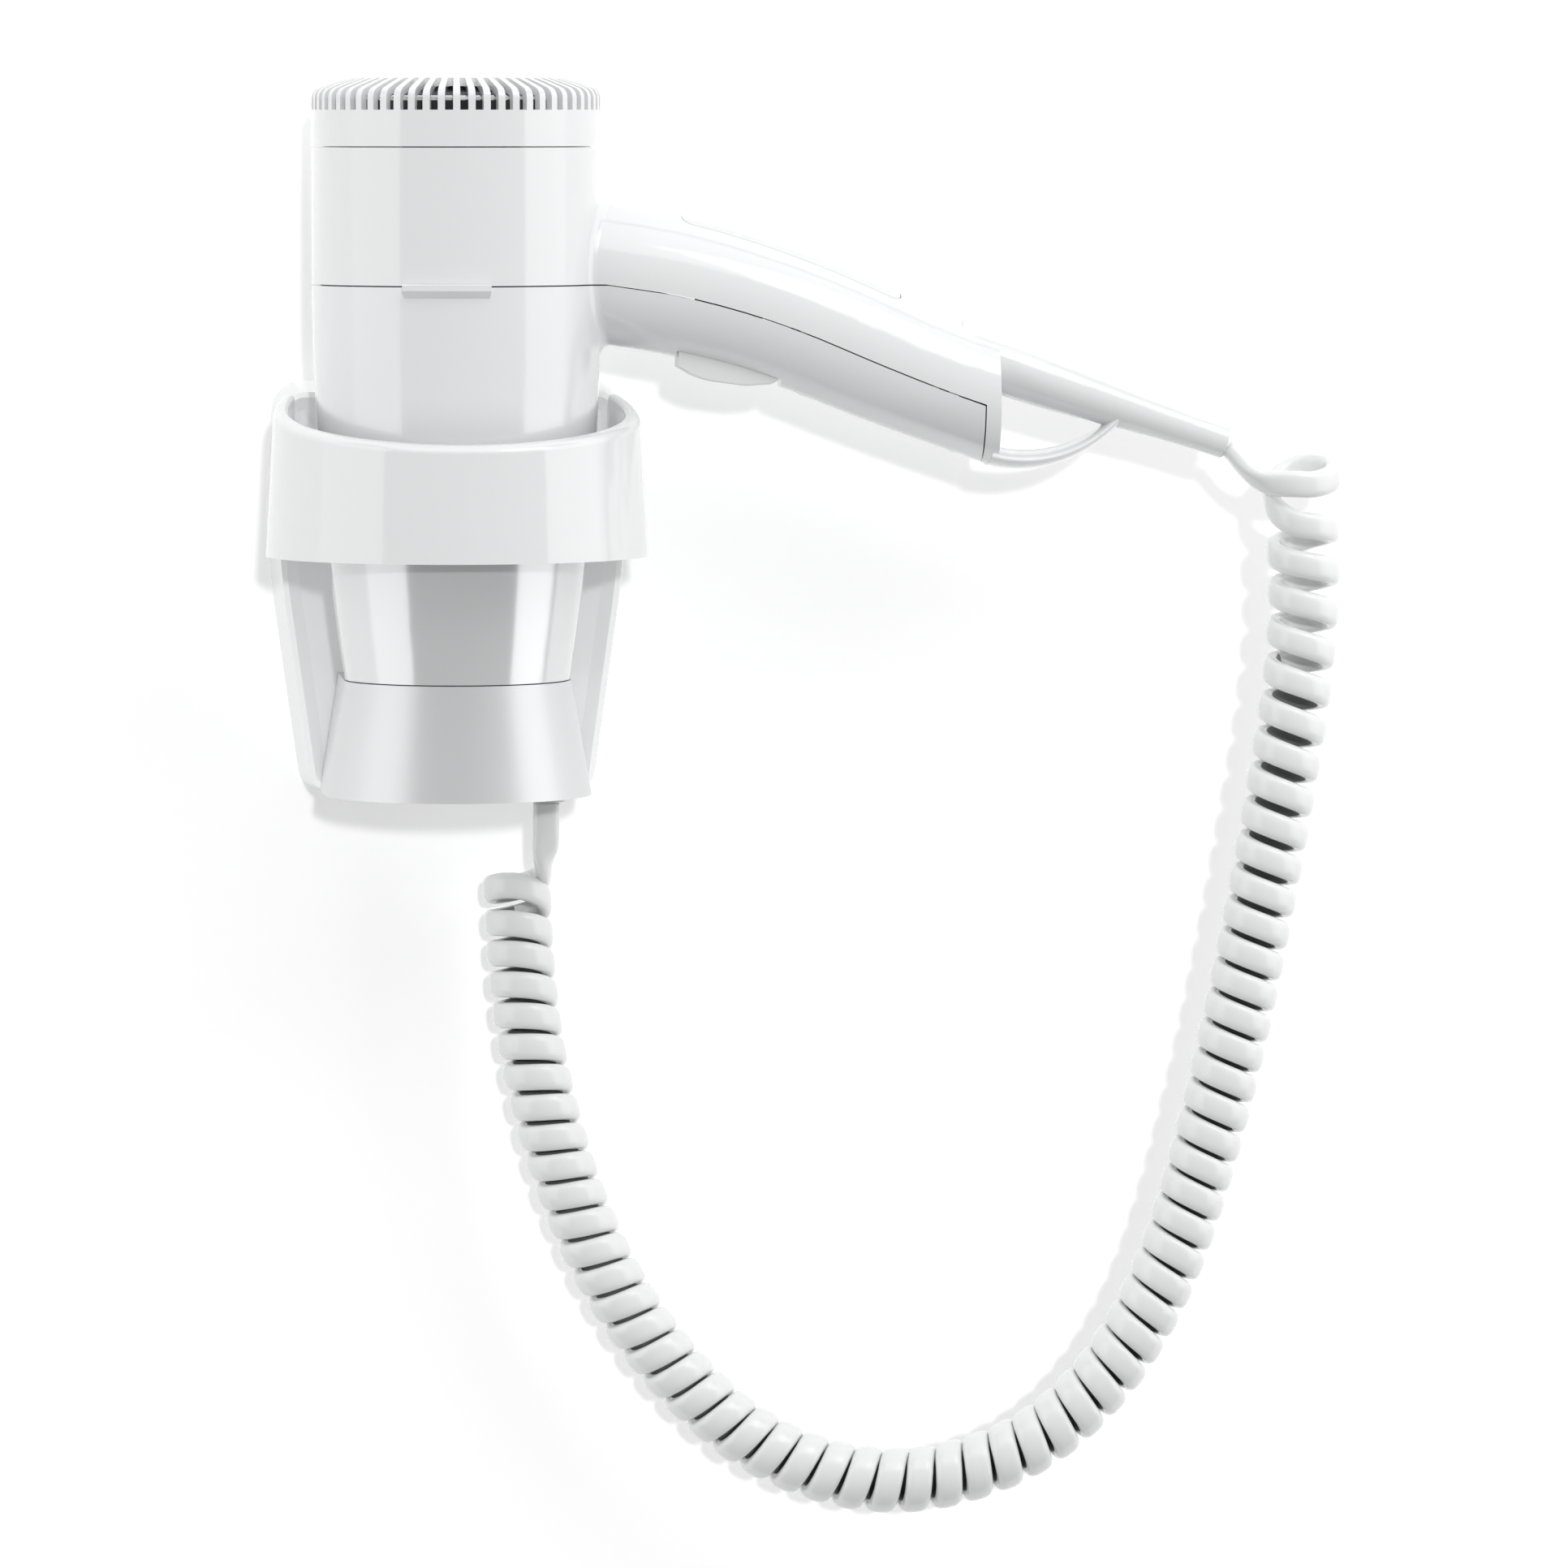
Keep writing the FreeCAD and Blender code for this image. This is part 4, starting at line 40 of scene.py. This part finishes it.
# ---------------------------------------------------------------- camera
# A long lens, a little to the left of the object and a little above its middle, so that
# the barrel's sides stay nearly parallel.
def look_from(thing, azimuth, elevation, distance, middle):
    """Stand a camera or a lamp at these degrees and this distance from the middle, and
    turn it to look at the middle."""
    a = math.radians(azimuth)
    e = math.radians(elevation)
    away = Vector((math.sin(a) * math.cos(e), -math.cos(a) * math.cos(e), math.sin(e)))
    thing.location = middle + away * distance
    thing.rotation_euler = (-away).to_track_quat("-Z", "Y").to_euler()


camera = bpy.data.objects.new("camera", bpy.data.cameras.new("camera"))
scene.collection.objects.link(camera)
look_from(camera, azimuth=-5.3, elevation=4.2, distance=2.5,
          middle=Vector((0.08935, -0.050, -0.052)))
camera.data.lens = 210
camera.data.sensor_width = 36
camera.data.clip_end = 20
scene.camera = camera

# ---------------------------------------------------------------- free cord
# One flat white PVC flex, 7.3 by 4.4 mm, set into some sixty-two curls, with a plain lead at
# each end. Bushes grip it at the handle's end and in the holder's foot, and the curls wind
# about the line that hangs between the two.
COIL_ROUTE = [
    (0.2305, -0.0485, 0.0350), (0.2340, -0.0455, 0.0100), (0.2320, -0.0455, -0.0240),
    (0.2265, -0.0450, -0.0580), (0.2205, -0.0447, -0.0920), (0.2134, -0.0444, -0.1269),
    (0.2052, -0.0440, -0.1598), (0.1954, -0.0435, -0.1906), (0.1792, -0.0425, -0.2189),
    (0.1556, -0.0410, -0.2393), (0.1207, -0.0385, -0.2484), (0.0862, -0.0345, -0.2392),
    (0.0613, -0.0312, -0.2177), (0.0424, -0.0283, -0.1909), (0.0300, -0.0254, -0.1611),
    (0.0219, -0.0222, -0.1294), (0.0185, -0.0190, -0.0998), (0.0179, -0.0165, -0.0732),
]
LEAD_FROM_ARM = [
    (0.2106, -0.052, 0.0396), (0.2124, -0.052, 0.0382), (0.2150, -0.0522, 0.0346),
    (0.2190, -0.0528, 0.0313), (0.2230, -0.0540, 0.0298),
]
LEAD_TO_HOLDER = [
    (0.0251, -0.0300, -0.0735), (0.0253, -0.033, -0.0670), (0.0254, -0.033, -0.0579),
]


def spline_points(points):
    """Points along the smooth line that these control points lead, evenly spaced."""
    data = bpy.data.curves.new("route", "CURVE")
    data.dimensions = "3D"
    data.resolution_u = 24
    spline = data.splines.new("NURBS")
    spline.points.add(len(points) - 1)
    for control, point in zip(spline.points, points):
        control.co = (*point, 1)
    spline.order_u = 3
    spline.use_endpoint_u = True
    carrier = bpy.data.objects.new("route", data)
    traced = bpy.data.meshes.new_from_object(carrier)
    found = np.array([v.co for v in traced.vertices], float)
    bpy.data.objects.remove(carrier)
    bpy.data.meshes.remove(traced)
    bpy.data.curves.remove(data)
    return found


def resample(points, step):
    """The same line at an even step; also its length."""
    runs = np.linalg.norm(np.diff(points, axis=0), axis=1)
    along = np.concatenate([[0], np.cumsum(runs)])
    count = max(int(round(along[-1] / step)), 2)
    places = np.linspace(0, along[-1], count + 1)
    return np.stack([np.interp(places, along, points[:, k]) for k in range(3)], 1), along[-1]


def unit(rows):
    """Each row scaled to length one."""
    return rows / np.linalg.norm(rows, axis=1)[:, None]


# The route in fine steps, with a front and a side direction square to it, and the turns
# wound by each place on it: the curls stand wider apart where they come off the lead.
route_step = 0.0001
steps_per_turn = 44
route, route_length = resample(spline_points(COIL_ROUTE), route_step)
heading = unit(np.gradient(route, axis=0))
front = unit(np.array([0.0, -1.0, 0.0]) - heading * -heading[:, 1:2])
side = np.cross(heading, front)
place = np.linspace(0, route_length, len(route))
pitch = np.interp(place, [0, 0.045, 0.09, 0.14, 0.20],
                  [0.0118, 0.0110, 0.0097, 0.00865, 0.00835])
first_front = 0.0045
turns = np.zeros(len(route))
turns[1:] = np.cumsum((1 / pitch[1:] + 1 / pitch[:-1]) / 2 * np.diff(place))
turns -= np.interp(first_front, place, turns)
last_turn = math.floor(turns[-1] + 0.25) - 0.25
wanted = np.linspace(0, last_turn, int(last_turn * steps_per_turn))
coil_place = np.interp(wanted, turns, place)


def along_route(rows):
    """The route's rows read off at each step of the coil."""
    return np.stack([np.interp(coil_place, place, rows[:, k]) for k in range(3)], 1)


angle = -2 * math.pi * wanted[:, None]
outward = along_route(front) * np.cos(angle) + along_route(side) * np.sin(angle)
radius = np.interp(coil_place, [0, 0.04, 0.16, 0.28, 0.36, 0.55],
                   [0.0083, 0.0077, 0.0076, 0.0068, 0.0068, 0.0073])
curls = along_route(route) + outward * radius[:, None]
# The first curl stands open: its back rides up over the lead. The last curls lean back, and
# the very last one arches up at its front.
up = np.array([0.0, 0.0, 1.0])
first_rise = 0.0075
first_shift = np.array([0.0012, 0, 0])
last_lean = 0.0011
lean_begins, lean_grows = 9, 6
arch_rise = 0.0022
arch_begins, arch_lasts = 1.15, 0.8
first = np.sin(np.pi * np.clip(wanted, 0, 1)) ** 2
curls += first[:, None] * up * first_rise
curls += np.sin(2 * np.pi * np.clip(wanted, 0, 0.5))[:, None] ** 2 * first_shift
to_end = wanted - last_turn
lean = last_lean * np.clip((to_end + lean_begins) / lean_grows, 0, 1)
curls += up * np.cos(angle) * lean[:, None]
arch = np.sin(np.pi * np.clip((to_end + arch_begins) / arch_lasts, 0, 1)) ** 2
curls += arch[:, None] * up * arch_rise
curl_wide = along_route(heading)
start_way = unit(np.diff(curls[:2], axis=0))[0]
end_way = unit(np.diff(curls[-2:], axis=0))[0]
lead_step = 0.001
lead_in = resample(spline_points(
    LEAD_FROM_ARM + [tuple(curls[0] - start_way * 0.003), tuple(curls[0])]), lead_step)[0]
lead_out = resample(spline_points(
    [tuple(curls[-1]), tuple(curls[-1] + end_way * 0.004)] + LEAD_TO_HOLDER), lead_step)[0]


def eased(count):
    """Shares from 0 to 1 that start and end gently, one row for each step."""
    share = np.linspace(0, 1, count)[:, None]
    return share * share * (3 - 2 * share)


# The flex's width lies along the route on the curls; it runs from front to back where it
# leaves the handle, and from left to right where it goes into the holder.
share_in = eased(len(lead_in))
share_out = eased(len(lead_out))
wide_in = np.array([0.0, 1.0, 0.0]) * (1 - share_in) + curl_wide[0] * share_in
wide_out = curl_wide[-1] * (1 - share_out) + np.array([1.0, 0.0, 0.0]) * share_out
line = np.concatenate([lead_in[:-1], curls, lead_out[1:]])
wide = np.concatenate([wide_in[:-1], curl_wide, wide_out[1:]])
way = unit(np.gradient(line, axis=0))
wide = unit(wide - way * np.sum(wide * way, axis=1)[:, None])
thin = np.cross(way, wide)
# Its section is a flat oval, fuller than an ellipse.
half_wide, half_thin = 0.00365, 0.0022
bulge = 2 / 2.7
ring_steps = 24
ring = []
for step in range(ring_steps):
    turn = 2 * math.pi * step / ring_steps
    x = math.copysign(abs(math.cos(turn)) ** bulge, math.cos(turn)) * half_wide
    y = math.copysign(abs(math.sin(turn)) ** bulge, math.sin(turn)) * half_thin
    ring.append((x, y))
ring = np.array(ring)
skin = (line[:, None, :] + wide[:, None, :] * ring[:, 0, None]
        + thin[:, None, :] * ring[:, 1, None])
rows, across = skin.shape[:2]
faces = []
for row in range(rows - 1):
    for step in range(across):
        after = (step + 1) % across
        faces.append((row * across + step, row * across + after,
                      (row + 1) * across + after, (row + 1) * across + step))
faces.append(tuple(range(across))[::-1])
faces.append(tuple((rows - 1) * across + step for step in range(across)))
mesh = bpy.data.meshes.new("cord")
mesh.from_pydata(skin.reshape(-1, 3).tolist(), [], faces)
mesh.update()
mesh.shade_smooth()
cord = bpy.data.objects.new("cord", mesh)
scene.collection.objects.link(cord)
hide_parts("cord_coil", "cord_lead_dryer", "cord_lead_holder")
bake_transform(cord)


class Value:
    """A shader socket that arithmetic can be done with: each operation adds a node."""

    def __init__(self, tree, socket):
        self.tree = tree
        self.socket = socket

    def node(self, kind, out=0, link=0, settings=None, inputs=None):
        """Another node, fed by this value through the input that link names; inputs holds
        what its other inputs take: numbers, colours or other values."""
        made = self.tree.nodes.new(kind)
        for name, setting in (settings or {}).items():
            setattr(made, name, setting)
        for name, given in {link: self, **(inputs or {})}.items():
            if isinstance(given, Value):
                self.tree.links.new(given.socket, made.inputs[name])
            else:
                made.inputs[name].default_value = given
        return Value(self.tree, made.outputs[out])

    def __add__(self, other):
        return self.node("ShaderNodeMath", settings={"operation": "ADD"}, inputs={1: other})

    def __mul__(self, other):
        return self.node("ShaderNodeMath", settings={"operation": "MULTIPLY"},
                         inputs={1: other})

    __radd__ = __add__
    __rmul__ = __mul__

    def into(self, shader, name):
        """Feed this value to one of the shader's inputs."""
        self.tree.links.new(self.socket, shader.inputs[name])


def coordinates(tree, kind="Object"):
    """The object's own coordinates, or its normal, as a value."""
    return Value(tree, tree.nodes.new("ShaderNodeTexCoord").outputs[kind])


def surface(name, colour, roughness, metallic=0.0, coat=0.0, grain=0.0, grain_scale=900.0,
            shade=0.02):
    """A moulded or metal surface: colour and roughness that vary slightly from place to
    place, and a fine grain in its normal."""
    made = bpy.data.materials.new(name)
    made.use_nodes = True
    tree = made.node_tree
    shader = tree.nodes["Principled BSDF"]
    shader.inputs["Roughness"].default_value = roughness
    shader.inputs["Metallic"].default_value = metallic
    shader.inputs["Coat Weight"].default_value = coat
    shader.inputs["Coat Roughness"].default_value = 0.04
    within = coordinates(tree)
    cloud = within.node("ShaderNodeTexNoise", link="Vector",
                        inputs={"Scale": 38.0, "Detail": 3.0})
    dark = [c * (1 - shade) for c in colour]
    colour_a, colour_b, mixed_colour = 6, 7, 2
    tint = cloud.node("ShaderNodeMix", out=mixed_colour, settings={"data_type": "RGBA"},
                      inputs={colour_a: (*dark, 1), colour_b: (*colour, 1)})
    tint.into(shader, "Base Color")
    (cloud * (roughness * 0.3) + roughness * 0.85).into(shader, "Roughness")
    if grain:
        fine = within.node("ShaderNodeTexNoise", link="Vector",
                           inputs={"Scale": grain_scale, "Detail": 2.0})
        bump = fine.node("ShaderNodeBump", link="Height",
                         inputs={"Strength": grain, "Distance": 0.00005})
        bump.into(shader, "Normal")
    return made


# Flat PVC flex: satin, with a faint mould grain. The narrow gaps between the closed curls are
# kept dark with painted shade: the flex's inner side is painted dark grey from the fifth curl
# to the last but one.
cord.data.materials.append(surface("cord_white", (0.76, 0.765, 0.765), 0.24, coat=0.5,
                                   grain=0.06, grain_scale=1500.0))
cord.data.materials.append(surface("cord_painted_gap_shade", (0.2, 0.203, 0.205), 0.5, grain=0.06,
                                   grain_scale=1500.0))
open_turns, end_turns = 4.6, 1.3
inner_first, inner_last = 2, 9
painted_shade_from = len(lead_in) + int(open_turns * steps_per_turn)
painted_shade_to = len(lead_in) + len(curls) - int(end_turns * steps_per_turn)
# Painted shade: faces on the inner side of the curls get the dark grey material.
for face in cord.data.polygons:
    row, step = divmod(face.index, across)
    if painted_shade_from < row < painted_shade_to and inner_first <= step <= inner_last:
        face.material_index = 1


# ---------------------------------------------------------------- housings and holder
# Glossy white ABS mouldings: the dryer's two shells, which are screwed together, the rear
# cap, which turns off, and the holder's tray and band, which stand on a plate screwed to
# the wall.
def paint(material, *nodes):
    """Give these pieces this material alone."""
    for name in nodes:
        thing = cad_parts[name]
        thing.data.materials.clear()
        thing.data.materials.append(material)


gloss = surface("gloss_white", (0.745, 0.75, 0.755), 0.14, coat=0.8, grain=0.03,
                grain_scale=350.0, shade=0.012)
paint(gloss, "rear_housing", "rear_grille", "holder_band")


def axis(value, index):
    """The X, Y or Z of a value, which are 0, 1 and 2."""
    return value.node("ShaderNodeSeparateXYZ", out=index, link="Vector")


def fade(value, start, end, most=1.0):
    """Rises from nothing where the value is at start to most where it reaches end."""
    return value.node("ShaderNodeMapRange", link="Value", inputs={
        "From Min": start, "From Max": end, "To Min": 0.0, "To Max": most})


# The tray's bowl has a painted glow standing in for fill light: emission lifts it a little on
# the faces that look to its middle, from just behind its rim back to the wall.
bowl = surface("tray_white", (0.78, 0.788, 0.79), 0.3, coat=0.4, grain=0.03,
               grain_scale=350.0)
tree = bowl.node_tree
outward_x = axis(coordinates(tree), 0) * axis(coordinates(tree, "Normal"), 0)
glow_inward = fade(outward_x, start=0.012, end=0.0)
glow_depth = fade(axis(coordinates(tree), 1), start=-0.0365, end=-0.030, most=0.19)
# Painted light: this emission brightens the recessed bowl, which no lamp lights there.
(glow_inward * glow_depth).into(tree.nodes["Principled BSDF"], "Emission Color")
tree.nodes["Principled BSDF"].inputs["Emission Strength"].default_value = 1.0
paint(bowl, "holder_tray")

# The lower housing's nozzle, below the holder's ring, has painted shade: it turns partly
# metallic going down, which darkens its middle as the ring's shade does.
nozzle = surface("nozzle_white", (0.74, 0.75, 0.755), 0.16, coat=0.7, grain=0.03,
                 grain_scale=350.0, shade=0.012)
tree = nozzle.node_tree
height = axis(coordinates(tree), 2)
# Painted shade: the metallic share grows from the ring's rim downwards.
fade(height, start=0.055, end=0.015, most=0.42).into(tree.nodes["Principled BSDF"], "Metallic")
paint(nozzle, "front_housing")

# The bib that carries the nozzle has a finer, satin face.
satin = surface("satin_white", (0.70, 0.712, 0.716), 0.34, metallic=0.45, grain=0.10,
                grain_scale=1800.0)
paint(satin, "nozzle_rest")

# ---------------------------------------------------------------- handle fittings
# The inlay let into the back of the grip and the switch key are separate ABS mouldings; the
# key swings on a steel pin across the grip.
inlay = surface("inlay_white", (0.70, 0.705, 0.71), 0.12, coat=0.6, grain=0.04)
paint(inlay, "handle_inlay")
key = surface("key_white", (0.77, 0.775, 0.775), 0.2, grain=0.05)
paint(key, "trigger")

# ---------------------------------------------------------------- inlet filter
# A white moulded ring with crossed bars sits under the cap's slots and holds a dome of fine
# woven wire, which keeps lint out of the fan.
paint(surface("ring_white", (0.78, 0.78, 0.78), 0.3, grain=0.08), "filter_frame")
wire = surface("filter_wire", (0.32, 0.32, 0.33), 0.4, metallic=0.8)
tree = wire.node_tree
checks = coordinates(tree).node("ShaderNodeTexChecker", link="Vector", out=1,
                                inputs={"Scale": 1400.0})
weave = checks.node("ShaderNodeBump", link="Height",
                    inputs={"Strength": 0.5, "Distance": 0.0002})
weave.into(tree.nodes["Principled BSDF"], "Normal")
paint(wire, "dust_filter")

# ---------------------------------------------------------------- works inside
# Motor, fan, heater and switchgear: dark engineering plastics, steel, ferrite, mica and
# resistance wire, held between the shells and in the holder's tray.
black = surface("black_plastic", (0.035, 0.035, 0.037), 0.45, grain=0.12)
paint(black, "intake_funnel", "motor_carrier", "fan", "outlet_grille", "motor_end_cap",
      "cutoff_switch", "micro_switch", "switch_button", "switch_plunger", "terminal_block")
rubbery = surface("white_flex_pvc", (0.78, 0.785, 0.785), 0.42, grain=0.10, grain_scale=1500.0)
paint(rubbery, "cord_tail", "cord_bush", "holder_cord_bush", "holder_cord_tail")
paint(surface("grey_plastic", (0.6, 0.6, 0.6), 0.4, grain=0.1), "wall_plate", "cord_clamp",
      "supply_grommet")
steel = surface("steel", (0.6, 0.6, 0.61), 0.3, metallic=1.0, grain=0.05)
paint(steel, "motor_can", "motor_shaft", "housing_screws", "cover_screws", "trigger_pin",
      "plunger_spring", "thermostat", "thermal_fuse")
paint(surface("ferrite", (0.06, 0.06, 0.06), 0.5, grain=0.15), "motor_magnets", "armature")
paint(surface("mica", (0.42, 0.36, 0.27), 0.35, grain=0.1), "mica_sleeve", "heater_frame")
paint(surface("element", (0.5, 0.44, 0.38), 0.35, metallic=1.0), "heater_winding")
paint(surface("board_green", (0.02, 0.16, 0.06), 0.35, grain=0.05), "control_board")
paint(surface("component", (0.05, 0.05, 0.055), 0.35, grain=0.05), "board_parts")
paint(surface("wire_blue", (0.05, 0.12, 0.4), 0.4), "handle_wires", "holder_wires")

# ---------------------------------------------------------------- wall
# The wall is a white board behind the holder. It can be seen only from the front, so that
# the back of the holder can be looked at, and it keeps the object's soft shadow.
reach, behind_back = 2, 0.0006
board = bpy.data.meshes.new("wall")
board.from_pydata([(x * reach, behind_back, z * reach)
                   for x, z in ((-1, -1), (1, -1), (1, 1), (-1, 1))], [], [(0, 1, 2, 3)])
wall = bpy.data.objects.new("wall", board)
scene.collection.objects.link(wall)
chalk = bpy.data.materials.new("wall_white")
chalk.use_nodes = True
tree = chalk.node_tree
shader = tree.nodes["Principled BSDF"]
for name, value in (("Base Color", (0.86, 0.86, 0.86, 1)), ("Roughness", 1.0),
                    ("Specular IOR Level", 0.0), ("Emission Color", (1, 1, 1, 1)),
                    ("Emission Strength", 0.235)):
    shader.inputs[name].default_value = value
behind = Value(tree, tree.nodes.new("ShaderNodeNewGeometry").outputs["Backfacing"])
clear = tree.nodes.new("ShaderNodeBsdfTransparent")
seen = behind.node("ShaderNodeMixShader", link="Fac", inputs={
    1: Value(tree, shader.outputs[0]), 2: Value(tree, clear.outputs[0])})
seen.into(tree.nodes["Material Output"], "Surface")
wall.data.materials.append(chalk)

# ---------------------------------------------------------------- light
# Two tall soft boxes at the sides leave a darker middle between them on the barrel; a large
# one overhead lights the cap and the handle's back, and a small key box above right gives
# the shine on the cap. A sun behind the lens casts the soft shadow below the object.
world = bpy.data.worlds.new("room")
scene.world = world
world.use_nodes = True
world.node_tree.nodes["Background"].inputs["Color"].default_value = (1, 1, 1, 1)
world.node_tree.nodes["Background"].inputs["Strength"].default_value = 0.325


def soft_box(name, azimuth, elevation, width, height, power):
    """A rectangular lamp 1.6 m from the object's middle, in degrees, metres and watts."""
    data = bpy.data.lights.new(name, "AREA")
    data.shape = "RECTANGLE"
    data.size = width
    data.size_y = height
    data.energy = power
    lamp = bpy.data.objects.new(name, data)
    scene.collection.objects.link(lamp)
    look_from(lamp, azimuth, elevation, distance=1.6, middle=Vector((0.08, -0.05, -0.03)))


soft_box("left_box", -78, 8, width=1.7, height=2.0, power=12)
soft_box("right_box", 76, 8, width=1.5, height=2.0, power=13)
soft_box("top_box", 0, 62, width=2.0, height=1.4, power=9)
soft_box("key_box", 42, 42, width=0.8, height=0.8, power=3.6)
sun = bpy.data.objects.new("sun", bpy.data.lights.new("sun", "SUN"))
scene.collection.objects.link(sun)
sun.data.energy = 1.0
sun.data.angle = math.radians(2.5)
sun.rotation_euler = Vector((-0.02, 1, -0.165)).to_track_quat("-Z", "Y").to_euler()
sun.visible_glossy = False

scene.view_settings.view_transform = "Standard"
